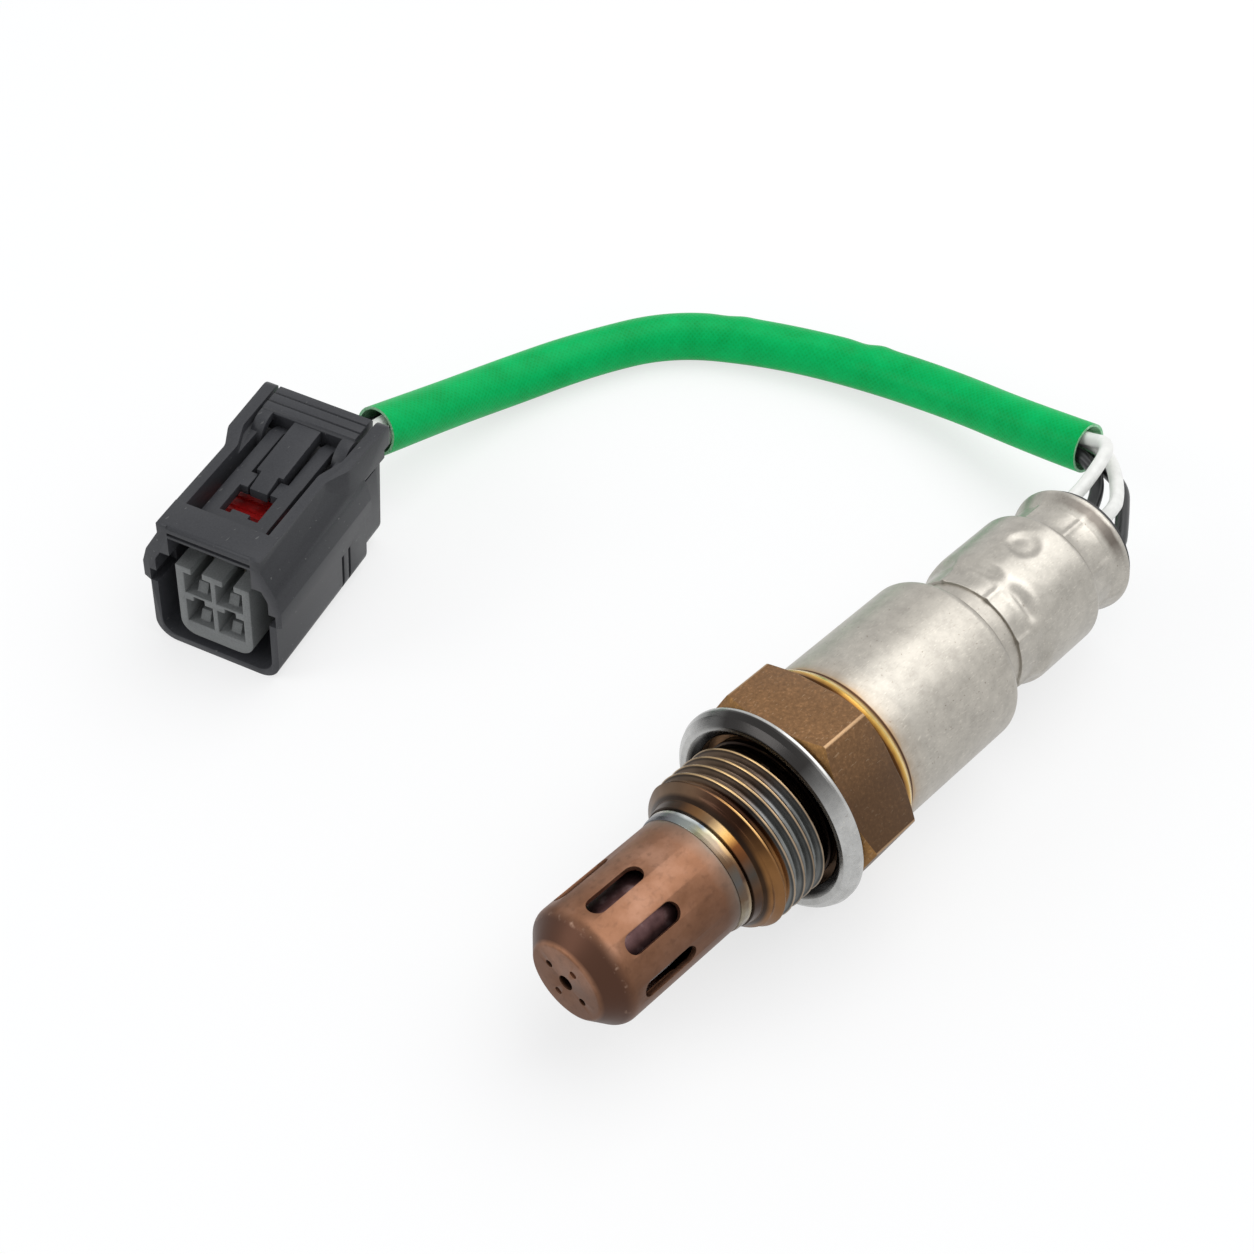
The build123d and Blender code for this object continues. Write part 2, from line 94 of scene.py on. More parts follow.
def facing_out(piece):
    """Merges doubled points and points every face outwards."""
    edit(piece, "SELECT")
    bpy.ops.mesh.remove_doubles(threshold=0.002 * MM)
    bpy.ops.mesh.normals_make_consistent(inside=False)
    finish_edit()


def applied(piece, kind, **values):
    """Adds one modifier, sets it and applies it."""
    pick(piece)
    bpy.ops.object.modifier_add(type=kind)
    modifier = piece.modifiers[-1]
    for key, value in values.items():
        setattr(modifier, key, value)
    bpy.ops.object.modifier_apply(modifier=modifier.name)
    return piece


def smooth(piece, angle=32):
    pick(piece)
    bpy.ops.object.shade_smooth_by_angle(angle=radians(angle))
    return piece


def joined(name, pieces):
    nothing_selected()
    for piece in pieces:
        piece.select_set(True)
    bpy.context.view_layer.objects.active = pieces[0]
    bpy.ops.object.join()
    return named(name)


def rounded(outline, steps=5):
    """(along, radius[, fillet]) corners as points, with each fillet drawn as an arc."""
    points = [Vector((p[0], p[1])) for p in outline]
    found = []
    for k, corner in enumerate(outline):
        fillet = corner[2] if len(corner) > 2 else 0
        if not fillet:
            found.append(points[k])
            continue
        before = (points[k - 1] - points[k]).normalized()
        after = (points[(k + 1) % len(points)] - points[k]).normalized()
        half = acos(max(-1, min(1, before.dot(after)))) / 2
        centre = points[k] + (before + after).normalized() * (fillet / sin(half))
        start = points[k] + before * (fillet / tan(half)) - centre
        end = points[k] + after * (fillet / tan(half)) - centre
        sweep = start.angle(end)
        side = 1 if start.cross(end) > 0 else -1
        for i in range(steps + 1):
            turn = Matrix.Rotation(side * sweep * i / steps, 2)
            found.append(centre + turn @ start)
    return [(p.x, p.y) for p in found]


def turned(name, outline, closed=False, steps=5, sides=AROUND):
    """Turned piece: a circle extruded ring by ring along the sensor's axis."""
    rings = rounded(outline, steps)
    if closed:
        rings.append(rings[0])
    along, radius = rings[0]
    start = max(radius, 0.01)
    nothing_selected()
    bpy.ops.mesh.primitive_circle_add(
        vertices=sides, radius=start * MM, rotation=(0, pi / 2, 0),
        location=((FACE_X + along) * MM, 0, AXIS_Z * MM))
    piece = settle(named(name))
    edit(piece, "SELECT")
    if radius == 0:
        bpy.ops.mesh.edge_face_add()
    for next_along, next_radius in rings[1:]:
        ratio = max(next_radius, 0.01) / start
        bpy.ops.mesh.extrude_edges_move(
            TRANSFORM_OT_translate={"value": ((next_along - along) * MM, 0, 0)})
        bpy.ops.transform.resize(value=(1, ratio, ratio), center_override=(0, 0, AXIS_Z * MM))
        along, start = next_along, max(next_radius, 0.01)
    if rings[-1][1] == 0:
        bpy.ops.mesh.edge_face_add()
    finish_edit()
    facing_out(piece)
    return smooth(piece)


def cut(piece, cutters, keep="DIFFERENCE"):
    """Boolean of a piece with a group of tools, which are then removed."""
    tool = joined("cutting_tool", cutters) if len(cutters) > 1 else cutters[0]
    applied(piece, "BOOLEAN", operation=keep, object=tool, solver="EXACT")
    bpy.data.objects.remove(tool)
    return piece


def about_axis(piece, angle):
    """Turns a piece about the sensor's axis."""
    centre = Matrix.Translation((0, 0, AXIS_Z * MM))
    piece.data.transform(centre @ Matrix.Rotation(angle, 4, "X") @ centre.inverted())
    return piece


def reshape(piece, rule):
    """Gives each point of a turned piece the radius that a rule finds for its place."""
    for vertex in piece.data.vertices:
        along = vertex.co.x / MM - FACE_X
        y, z = vertex.co.y / MM, vertex.co.z / MM - AXIS_Z
        radius = hypot(y, z)
        ratio = rule(along, atan2(z, y), radius) / radius
        vertex.co.y *= ratio
        vertex.co.z = (AXIS_Z + z * ratio) * MM
    return piece


def moulded_copy(name, node, edge):
    """A CAD moulding with its edges broken by a small radius."""
    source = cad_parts[node]
    piece = linked(name, source.data.copy())
    piece.data.name = name
    piece.data.materials.clear()
    piece.data.transform(source.matrix_world)
    edit(piece, "SELECT")
    bpy.ops.mesh.remove_doubles(threshold=0.001 * MM)
    bpy.ops.mesh.dissolve_limited(angle_limit=radians(1.0))
    finish_edit()
    applied(piece, "BEVEL", width=edge * MM, segments=2, limit_method="ANGLE",
            angle_limit=radians(35))
    return smooth(piece, 40)


def coat(piece, materials):
    piece.data.materials.clear()
    for material in materials:
        piece.data.materials.append(material)
    return piece


def register(piece, node):
    """The piece rides on the one body and stands in for its CAD node, which is hidden."""
    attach(piece, "root")
    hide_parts(node)
    return piece


def dress(piece, materials, node):
    return register(coat(piece, materials), node)


# ------------ material helpers
TURNING = (9000, 500, 500)        # stretches noise into fine rings round the axis


def toned(colour, share):
    return tuple(share * c for c in colour)


class Finish:
    """A node material built up step by step."""

    def __init__(self, name, colour, roughness=0.5, metallic=0.0):
        self.material = bpy.data.materials.new(name)
        self.material.use_nodes = True
        self.tree = self.material.node_tree
        self.shader = self.tree.nodes["Principled BSDF"]
        self.set("Base Color", (*colour, 1))
        self.set("Roughness", roughness)
        self.set("Metallic", metallic)
        self.coordinates = self.node("ShaderNodeTexCoord")
        self.height = None

    def set(self, socket, value):
        self.shader.inputs[socket].default_value = value

    def node(self, kind, **values):
        found = self.tree.nodes.new(kind)
        for key, value in values.items():
            setattr(found, key, value)
        return found

    def link(self, source, target):
        self.tree.links.new(source, target)

    def place(self, scale=(1, 1, 1), location=(0, 0, 0), rotation=(0, 0, 0), uv=False):
        mapping = self.node("ShaderNodeMapping")
        self.link(self.coordinates.outputs["UV" if uv else "Object"], mapping.inputs["Vector"])
        mapping.inputs["Scale"].default_value = scale
        mapping.inputs["Location"].default_value = location
        mapping.inputs["Rotation"].default_value = rotation
        return mapping.outputs["Vector"]

    def noise(self, vector, size, detail=3.0, rough=0.5):
        """Cloudy pattern, 0 to 1; size is in patterns per metre."""
        found = self.node("ShaderNodeTexNoise")
        self.link(vector, found.inputs["Vector"])
        found.inputs["Scale"].default_value = size
        found.inputs["Detail"].default_value = detail
        found.inputs["Roughness"].default_value = rough
        return found.outputs["Fac"]

    def ramp(self, value, stops, smooth_steps=False):
        """Colours or greys at places 0 to 1."""
        found = self.node("ShaderNodeValToRGB")
        if smooth_steps:
            found.color_ramp.interpolation = "EASE"
        elements = found.color_ramp.elements
        while len(elements) < len(stops):
            elements.new(0.5)
        for element, (place, colour) in zip(elements, stops):
            element.position = place
            grey = isinstance(colour, (int, float))
            element.color = (colour, colour, colour, 1) if grey else (*colour, 1)
        self.link(value, found.inputs["Fac"])
        return found.outputs["Color"]

    def math(self, operation, a, b=None):
        found = self.node("ShaderNodeMath", operation=operation)
        for socket, value in zip(found.inputs, (a, b)):
            if value is None:
                continue
            if isinstance(value, (int, float)):
                socket.default_value = value
            else:
                self.link(value, socket)
        return found.outputs[0]

    def mix(self, factor, a, b, blend="MIX"):
        found = self.node("ShaderNodeMix", data_type="RGBA", blend_type=blend)
        colour_a, colour_b = found.inputs[6], found.inputs[7]
        for socket, value in zip((found.inputs["Factor"], colour_a, colour_b), (factor, a, b)):
            if isinstance(value, (int, float)):
                socket.default_value = value
            elif isinstance(value, tuple):
                socket.default_value = (*value, 1)
            else:
                self.link(value, socket)
        return found.outputs[2]

    def along(self, low, high, waver=0.0, size=400, lead=0.0):
        """0 to 1 between two places along the axis, in mm; lead makes them follow the thread."""
        split = self.node("ShaderNodeSeparateXYZ")
        self.link(self.coordinates.outputs["Object"], split.inputs[0])
        value = split.outputs[0]
        if waver:
            value = self.shifted(value, self.noise(self.place(), size, 2), waver * MM)
        if lead:
            wound = self.math("MULTIPLY", self.swing(), lead * MM)
            value = self.math("SUBTRACT", value, wound)
        return self.spread(value, (FACE_X + low) * MM, (FACE_X + high) * MM)

    def shifted(self, value, cloud, amount):
        """A value moved up and down by a cloudy pattern, by the amount from end to end."""
        shift = self.math("MULTIPLY", self.math("SUBTRACT", cloud, 0.5), amount)
        return self.math("ADD", value, shift)

    def spread(self, value, low, high, new_low=0, new_high=1):
        """A value's range from low to high drawn out to a new one."""
        found = self.node("ShaderNodeMapRange")
        self.link(value, found.inputs["Value"])
        for socket, limit in zip(found.inputs[1:5], (low, high, new_low, new_high)):
            socket.default_value = limit
        return found.outputs["Result"]

    def off_axis(self):
        """The offset from the sensor's axis, square to it."""
        return self.place((0, 1, 1), (0, 0, -AXIS_Z * MM))

    def from_axis(self, low, high):
        """0 to 1 between two radii about the sensor's axis, in mm."""
        length = self.node("ShaderNodeVectorMath", operation="LENGTH")
        self.link(self.off_axis(), length.inputs[0])
        return self.spread(length.outputs["Value"], low * MM, high * MM)

    def toward(self, angle, low, high):
        """0 to 1 as the side of the sensor turns toward an angle, given as its cosine."""
        unit = self.node("ShaderNodeVectorMath", operation="NORMALIZE")
        self.link(self.off_axis(), unit.inputs[0])
        dot = self.node("ShaderNodeVectorMath", operation="DOT_PRODUCT")
        self.link(unit.outputs[0], dot.inputs[0])
        dot.inputs[1].default_value = (0, cos(radians(angle)), sin(radians(angle)))
        return self.spread(dot.outputs["Value"], low, high)

    def swing(self):
        """0 on the sensor's +Y side, 0.5 on its top and 1 on its -Y side."""
        return self.toward(0, 1, -1)

    def bump(self, height, strength, distance):
        """Adds one layer of relief; distance is in mm."""
        found = self.node("ShaderNodeBump")
        found.inputs["Strength"].default_value = strength
        found.inputs["Distance"].default_value = distance * MM
        self.link(height, found.inputs["Height"])
        if self.height:
            self.link(self.height, found.inputs["Normal"])
        self.height = found.outputs["Normal"]
        self.link(self.height, self.shader.inputs["Normal"])

    def colour(self, value):
        self.link(value, self.shader.inputs["Base Color"])

    def colour_so_far(self):
        return self.shader.inputs["Base Color"].links[0].from_socket

    def roughness(self, value, low, high):
        """A pattern's 0 to 1 drawn out to roughness from low to high."""
        self.link(self.spread(value, 0, 1, low, high), self.shader.inputs["Roughness"])


# ------------ finishes
HEAT_LEAD = 0.75                  # how far a burnt edge runs on, in mm, over half a turn


def shell_bronze(name, tone, shaded=0.0):
    """Bronze-brown coating with a fine mottle, tiny bright scuffs, corners lightened partly by
    rubbing and partly as a painted highlight, and a share of painted shade on the +Y side and
    underneath.
    """
    f = Finish(name, tone, 0.4, 0.85)
    mottle = f.noise(f.place(), 2600, 4, 0.65)
    cloud = f.noise(f.place(), 160, 3)
    base = f.ramp(mottle, [(0.32, toned(tone, 0.72)), (0.56, tone), (0.72, toned(tone, 1.55))])
    scuff = f.ramp(f.noise(f.place((1500, 5200, 2100), rotation=(0.4, 0.7, 0.2)), 1, 2),
                   [(0.65, 0.0), (0.7, 0.6)])
    base = f.mix(scuff, base, (0.4, 0.27, 0.16))
    base = f.mix(f.ramp(cloud, [(0.35, 0.0), (0.7, 0.22)]), base, (0.09, 0.05, 0.028))
    # painted shade: the side turned away from 120 degrees, +Y and underneath, is darkened by the
    # shaded share
    painted_side_shade = f.ramp(f.toward(120, 0.15, 0.8), [(0.0, shaded), (1.0, 0.0)])
    base = f.mix(painted_side_shade, base, (0.055, 0.03, 0.017))
    # corners lightened: partly rubbed metal, partly a painted highlight
    corner = f.ramp(f.from_axis(12.545, 12.585), [(0.0, 0.0), (1.0, 0.8)])
    f.colour(f.mix(corner, base, (0.42, 0.27, 0.15)))
    f.roughness(mottle, 0.36, 0.52)
    f.bump(mottle, 0.12, 0.02)
    return f.material


def groove_colour(f, side):
    """Grey grooves on the +Y side and brown ones on the -Y side, with painted shade on their
    flanks, darkest under the crests.
    """
    groove = f.ramp(side, [
        (0.12, (0.23, 0.238, 0.232)), (0.32, (0.185, 0.185, 0.185)), (0.46, (0.13, 0.095, 0.075)),
        (0.75, (0.155, 0.108, 0.075))])
    # painted shade: the flanks darken toward the crests, darkest just under them
    shade = f.ramp(f.from_axis(8.2, 9.0), [
        (0.06, 1.0), (0.18, 0.7), (0.58, 0.62), (0.72, 0.26), (0.88, 0.26), (0.93, 1.0)])
    return f.mix(1.0, groove, shade, "MULTIPLY")


def lead_in_colour(f, side):
    """Burnt brown in front of the thread, nearly black on top."""
    return f.ramp(side, [
        (0.0, (0.215, 0.105, 0.04)), (0.12, (0.2, 0.095, 0.034)), (0.18, (0.105, 0.05, 0.02)),
        (0.25, (0.064, 0.03, 0.013)), (0.33, (0.027, 0.012, 0.007)), (0.5, (0.034, 0.016, 0.01)),
        (0.6, (0.06, 0.032, 0.02)), (0.7, (0.12, 0.07, 0.042)), (0.85, (0.15, 0.095, 0.058))])


def crest_colour(f, side):
    """Rubbed pale gold on the thread's crests, brightest near the top as a painted highlight, and
    copper brown on the first of them with a painted orange highlight.
    """
    # crest colour by side: rubbed metal, with a painted highlight where it is brightest
    worn_and_highlit = f.ramp(side, [
        (0.1, (0.33, 0.25, 0.175)), (0.32, (0.56, 0.39, 0.23)), (0.55, (0.62, 0.42, 0.2)),
        (0.85, (0.38, 0.27, 0.16))])
    # first crest: copper brown with a painted orange highlight on its upper side
    first = f.ramp(side, [
        (0.05, (0.2, 0.1, 0.04)), (0.15, (0.3, 0.15, 0.06)), (0.23, (0.8, 0.46, 0.18)),
        (0.34, (0.95, 0.6, 0.25)), (0.44, (0.56, 0.3, 0.11)), (0.56, (0.15, 0.075, 0.04)),
        (0.8, (0.06, 0.035, 0.02))])
    return f.mix(f.along(8.6, 8.7, lead=HEAT_LEAD), worn_and_highlit, first)


def nose_colour(f, side):
    """Heat tint on the short nose in front of the lead-in: brown sides, and a golden band near the
    top that is partly a painted highlight.
    """
    # the bright gold stretch near the top is partly a painted highlight
    return f.ramp(side, [
        (0.0, (0.06, 0.03, 0.017)), (0.03, (0.11, 0.058, 0.031)), (0.09, (0.088, 0.074, 0.062)),
        (0.18, (0.12, 0.05, 0.022)), (0.26, (0.21, 0.075, 0.024)), (0.32, (0.52, 0.27, 0.075)),
        (0.37, (0.6, 0.38, 0.14)), (0.42, (0.56, 0.38, 0.19)), (0.5, (0.2, 0.125, 0.068)),
        (0.6, (0.205, 0.105, 0.044)), (0.69, (0.15, 0.075, 0.036)), (0.76, (0.065, 0.037, 0.022))])


def thread_finish():
    """Golden crests, partly a painted highlight, over grey and brown grooves with painted shade,
    painted shade in the relief behind the thread, then the burnt lead-in and the nose.
    """
    f = Finish("thread_finish", (0.3, 0.17, 0.08), 0.32, 1.0)
    cloud = f.noise(f.place(), 260, 3)
    grain = f.noise(f.place(TURNING), 1, 3)
    side = f.swing()
    burnt = f.along(7.66, 7.74, lead=HEAT_LEAD)
    base = f.mix(burnt, groove_colour(f, side), lead_in_colour(f, side))
    crest = f.ramp(f.from_axis(8.8, 9.0), [(0.4, 0.0), (0.72, 1.0)])
    base = f.mix(crest, base, crest_colour(f, side))
    base = f.mix(f.along(10.38, 10.44), base, nose_colour(f, side))
    seams = f.ramp(f.along(9.5, 11.5), [
        (0.22, 0.0), (0.34, 0.9), (0.44, 0.9), (0.47, 0.0), (0.9, 0.0), (0.96, 0.9)])
    # painted shade in the relief behind the thread; the seams are dark joints
    behind = f.along(2.85, 2.65)
    base = f.mix(f.math("MAXIMUM", seams, behind), base, (0.024, 0.015, 0.011))
    # lighter turning rings over the painted shade of the relief
    rings = f.math("MULTIPLY", behind, f.ramp(grain, [(0.55, 0.0), (0.68, 0.5)]))
    base = f.mix(rings, base, (0.2, 0.13, 0.07))
    f.colour(f.mix(1.0, base, f.ramp(cloud, [(0.32, 0.66), (0.62, 1.0)]), "MULTIPLY"))
    f.roughness(grain, 0.26, 0.42)
    f.bump(grain, 0.1, 0.02)
    return f.material


def nose_tint():
    """Heat colours of the weld on the nose: gold and brown behind, straw and blue in front; the
    pale stretches near the top are partly a painted highlight.
    """
    f = Finish("nose_tint", (0.5, 0.4, 0.3), 0.26, 0.95)
    patch = f.noise(f.place(), 420, 3)
    side = f.shifted(f.swing(), patch, 0.1)
    # heat colours by side; the cream and silver stretches near the top are partly a painted
    # highlight
    back = f.ramp(side, [
        (0.0, (0.36, 0.3, 0.2)), (0.04, (0.24, 0.16, 0.095)), (0.1, (0.085, 0.048, 0.032)),
        (0.18, (0.16, 0.085, 0.044)), (0.25, (0.28, 0.17, 0.08)), (0.33, (0.44, 0.31, 0.16)),
        (0.41, (0.52, 0.44, 0.3)), (0.47, (0.4, 0.38, 0.28)), (0.51, (0.18, 0.22, 0.28)),
        (0.56, (0.48, 0.52, 0.53)), (0.66, (0.64, 0.66, 0.66)), (0.74, (0.24, 0.26, 0.26)),
        (0.84, (0.4, 0.38, 0.33))])
    front = f.ramp(side, [
        (0.0, (0.28, 0.25, 0.18)), (0.03, (0.12, 0.075, 0.045)), (0.1, (0.095, 0.09, 0.085)),
        (0.15, (0.1, 0.085, 0.07)), (0.2, (0.12, 0.065, 0.035)), (0.28, (0.19, 0.125, 0.075)),
        (0.36, (0.26, 0.195, 0.14)), (0.44, (0.25, 0.21, 0.15)), (0.51, (0.2, 0.19, 0.12)),
        (0.58, (0.26, 0.28, 0.26)), (0.68, (0.19, 0.21, 0.21)), (0.78, (0.11, 0.11, 0.12))])
    f.colour(f.mix(f.along(11.8, 12.1, 0.6, 600), back, front))
    f.roughness(patch, 0.2, 0.34)
    f.bump(patch, 0.25, 0.05)
    return f.material


def protector_copper():
    """Heat-tinted copper brown, hazed by the weld, burnt round the bevelled tip, and with painted
    shade on the sides turned away from the top.
    """
    f = Finish("protector_copper", (0.22, 0.11, 0.07), 0.38, 1.0)
    cloud = f.noise(f.place(), 190, 5, 0.6)
    stain = f.noise(f.place((1200, 1500, 1500)), 1, 4)
    grain = f.noise(f.place(TURNING), 1, 4)
    body = f.ramp(cloud, [
        (0.3, (0.16, 0.074, 0.04)), (0.52, (0.232, 0.114, 0.067)), (0.72, (0.31, 0.168, 0.11))])
    body = f.mix(f.ramp(stain, [(0.52, 0.0), (0.74, 0.4)]), body, (0.1, 0.05, 0.032))
    # painted shade: darker on the sides turned away from the top
    painted_side_shade = f.ramp(f.toward(95, 0.25, 0.85), [(0.0, 0.55), (1.0, 0.0)])
    body = f.mix(painted_side_shade, body, (0.085, 0.042, 0.026))
    near_weld = f.ramp(f.along(12.7, 14.8, 1.0, 500), [(0.0, 0.85), (0.3, 0.35), (1.0, 0.0)])
    base = f.mix(near_weld, body, (0.19, 0.175, 0.15))
    tip = f.ramp(f.along(27.6, 28.8), [(0.0, 0.0), (1.0, 1.0)], smooth_steps=True)
    face = f.ramp(f.along(30.1, 30.4), [(0.0, 1.0), (1.0, 0.0)])
    base = f.mix(f.math("MULTIPLY", tip, face), base, (0.08, 0.039, 0.026))
    edge = f.ramp(f.along(27.9, 29.1, 0.5, 900), [(0.2, 0.0), (0.45, 1.0), (0.75, 0.0)])
    edge = f.math("MULTIPLY", edge, f.ramp(stain, [(0.57, 0.0), (0.72, 0.5)]))
    f.colour(f.mix(edge, base, (0.46, 0.31, 0.23)))
    f.roughness(cloud, 0.38, 0.54)
    f.bump(grain, 0.08, 0.02)
    f.bump(stain, 0.08, 0.05)
    return f.material


def bright_steel(name, colour, low, high, pits=0.0):
    """Satin stainless steel with soft blotches, fine turning marks, scratches and pits."""
    f = Finish(name, colour, 0.35, 1.0)
    cloud = f.noise(f.place(), 420, 6, 0.7)
    grain = f.noise(f.place(TURNING), 1, 4)
    base = f.ramp(cloud, [(0.34, toned(colour, 0.78)), (0.62, colour)])
    if pits:
        speck = f.noise(f.place(), 3000, 2, 0.4)
        spots = f.ramp(speck, [(0.24, 1.0), (0.29, 0.0)])
        base = f.mix(f.math("MULTIPLY", spots, pits), base, (0.2, 0.17, 0.14))
        scratch = f.noise(f.place((1600, 9500, 5200), rotation=(0.5, 0.3, 0.6)), 1, 3)
        base = f.mix(f.ramp(scratch, [(0.6, 0.0), (0.72, 0.45)]), base, (0.7, 0.66, 0.58))
        base = f.mix(f.ramp(scratch, [(0.27, 0.5), (0.38, 0.0)]), base, (0.26, 0.23, 0.2))
        f.bump(scratch, 0.12, 0.02)
    f.colour(base)
    f.roughness(f.mix(0.6, cloud, grain), low, high)
    f.bump(grain, 0.1, 0.02)
    return f


def sleeve_steel():
    """The barrel's steel, with a straw and brown heat tint beside the weld."""
    f = bright_steel("sleeve_steel", (0.465, 0.437, 0.39), 0.32, 0.48, 0.8)
    base = f.colour_so_far()
    tint = f.ramp(f.along(-13.2, -9.9, 1.4, 300),
                  [(0.0, 0.0), (0.55, 0.08), (0.8, 0.3), (0.92, 0.75), (1.0, 0.9)])
    base = f.mix(tint, base, (0.4, 0.255, 0.125))
    line = f.ramp(f.along(-10.45, -9.75), [(0.48, 0.0), (0.62, 0.95), (1.0, 0.95)])
    f.colour(f.mix(line, base, (0.065, 0.028, 0.013)))
    return f.material


def rear_steel():
    """Steel of the rear tube, with a painted dark reflection in the root of its flared lip."""
    f = bright_steel("rear_steel", (0.465, 0.44, 0.395), 0.26, 0.44, 0.6)
    base = f.colour_so_far()
    # painted dark reflection in the root of the flared lip, strongest between the +Y side and the
    # top
    painted_lip_reflection = f.ramp(f.along(-51.0, -53.1, 0.5, 900),
                   [(0.12, 0.0), (0.4, 0.75), (0.74, 0.8), (0.92, 0.0)])
    spread = f.ramp(f.swing(), [(0.04, 0.0), (0.16, 1.0), (0.52, 0.8), (0.78, 0.15)])
    f.colour(f.mix(f.math("MULTIPLY", painted_lip_reflection, spread), base, (0.085, 0.066, 0.054)))
    return f.material


def gasket_steel():
    """Plated ring with a painted dark reflection as a band round the top of its outer slope, and
    painted shade in its dark inner fold.
    """
    f = bright_steel("gasket_steel", (0.5, 0.5, 0.49), 0.2, 0.34, 0.4)
    base = f.colour_so_far()
    # painted dark reflection: a band on the top of the outer slope
    roll = f.ramp(f.from_axis(10.2, 10.8), [(0.0, 0.0), (1.0, 1.0)])
    roll = f.math("MULTIPLY", roll, f.toward(97, 0.5, 0.9))
    roll = f.math("MULTIPLY", roll, f.along(0.6, 0.76))
    # painted shade in the inner fold
    fold = f.ramp(f.from_axis(9.4, 10.4), [(0.45, 1.0), (0.9, 0.0)])
    dark = f.math("MAXIMUM", roll, fold)
    f.colour(f.mix(dark, base, (0.035, 0.033, 0.032)))
    return f.material


def weld_gold():
    """Gold-tinted weld bead, brightest along its crown as a painted highlight, with a dark heat
    line on the barrel's side.
    """
    f = Finish("weld_gold", (0.75, 0.5, 0.16), 0.22, 1.0)
    cloud = f.noise(f.place(), 600, 3)
    across = f.along(-9.95, -7.9, 0.12, 700)
    # gold across the bead, brightest along its crown as a painted highlight
    gold = f.ramp(across, [
        (0.14, (0.3, 0.15, 0.03)), (0.26, (0.62, 0.36, 0.09)), (0.42, (0.95, 0.74, 0.32)),
        (0.56, (0.8, 0.52, 0.14)), (0.74, (0.42, 0.22, 0.045)), (0.86, (0.24, 0.11, 0.025))])
    gold = f.mix(1.0, gold, f.ramp(cloud, [(0.35, 0.8), (0.6, 1.0)]), "MULTIPLY")
    edges = f.ramp(across, [(0.08, 0.95), (0.15, 0.0), (0.84, 0.0), (0.91, 0.95)])
    f.colour(f.mix(edges, gold, (0.06, 0.024, 0.008)))
    f.roughness(cloud, 0.14, 0.28)
    f.bump(cloud, 0.15, 0.04)
    return f.material


def dull_steel():
    """Sooty brown steel of the inner protector."""
    f = Finish("dull_steel", (0.09, 0.05, 0.05), 0.4, 0.9)
    cloud = f.noise(f.place(), 500, 4)
    f.colour(f.ramp(cloud, [(0.32, (0.05, 0.024, 0.024)), (0.58, (0.105, 0.056, 0.056)),
                            (0.75, (0.23, 0.16, 0.16))]))
    f.roughness(cloud, 0.3, 0.5)
    return f.material


def spring_steel():
    return bright_steel("spring_steel", (0.58, 0.57, 0.55), 0.25, 0.4).material


def ceramic(name, colour):
    f = Finish(name, colour, 0.6)
    grain = f.noise(f.place(), 4000, 3)
    f.colour(f.ramp(grain, [(0.3, toned(colour, 0.88)), (0.7, colour)]))
    f.roughness(grain, 0.5, 0.7)
    f.bump(grain, 0.15, 0.02)
    return f.material


def rubber(name, colour, low=0.42, high=0.6):
    f = Finish(name, colour, 0.5)
    grain = f.noise(f.place(), 3000, 3)
    f.colour(f.ramp(grain, [(0.3, colour), (0.8, toned(colour, 1.5))]))
    f.roughness(grain, low, high)
    f.bump(grain, 0.2, 0.03)
    return f.material


def moulded_plastic(name, colour, low, high):
    """Moulded plastic with a faint grain, flow streaks, dusty scuffs and a slight sheen."""
    f = Finish(name, colour, 0.5)
    f.set("Specular IOR Level", 0.22)
    grain = f.noise(f.place(), 5200, 4, 0.6)
    streak = f.noise(f.place((90, 90, 700)), 1, 3)
    base = f.ramp(f.mix(0.35, grain, streak), [(0.3, toned(colour, 0.8)),
                                               (0.7, toned(colour, 1.3))])
    scuff = f.ramp(f.noise(f.place((900, 2600, 1700), rotation=(0.3, 0.5, 0.4)), 1, 2),
                   [(0.71, 0.0), (0.74, 0.3)])
    f.colour(f.mix(scuff, base, (0.22, 0.22, 0.21)))
    f.roughness(f.mix(0.5, grain, streak), low, high)
    f.bump(grain, 0.22, 0.025)
    return f.material


def wire_insulation(name, colour, roughness):
    f = Finish(name, colour, roughness)
    smear = f.noise(f.place(), 700, 3)
    f.colour(f.ramp(smear, [(0.35, toned(colour, 0.9)), (0.65, colour)]))
    f.roughness(smear, roughness - 0.06, roughness + 0.08)
    return f.material


def green_braid():
    """Coated braid: two families of fine strands crossing on the tube."""
    f = Finish("green_braid", (0.0, 0.42, 0.13), 0.38)
    f.set("Specular IOR Level", 0.08)
    strands_round, strands_a_metre = 28, 1500
    split = f.node("ShaderNodeSeparateXYZ")
    f.link(f.place(uv=True), split.inputs[0])
    turn = f.math("MULTIPLY", split.outputs[0], strands_round * 2 * pi)
    families = []
    for lean in (1, -1):
        run = f.math("MULTIPLY", split.outputs[1], lean * strands_a_metre * 2 * pi)
        wave = f.math("SINE", f.math("ADD", turn, run))
        families.append(f.spread(wave, -1, 1))
    weave = f.math("MAXIMUM", families[0], families[1])
    smear = f.noise(f.place(), 260, 4)
    fine = f.noise(f.place(), 2500, 3)
    low, high = (0.0, 0.3, 0.05), (0.0, 0.45, 0.1)
    base = f.ramp(f.mix(0.35, smear, fine), [(0.32, low), (0.68, high)])
    f.colour(f.mix(f.math("MULTIPLY", weave, 0.25), base, (0.0, 0.6, 0.2)))
    f.roughness(smear, 0.3, 0.46)
    f.bump(weave, 0.35, 0.05)
    f.bump(fine, 0.15, 0.05)
    return f.material


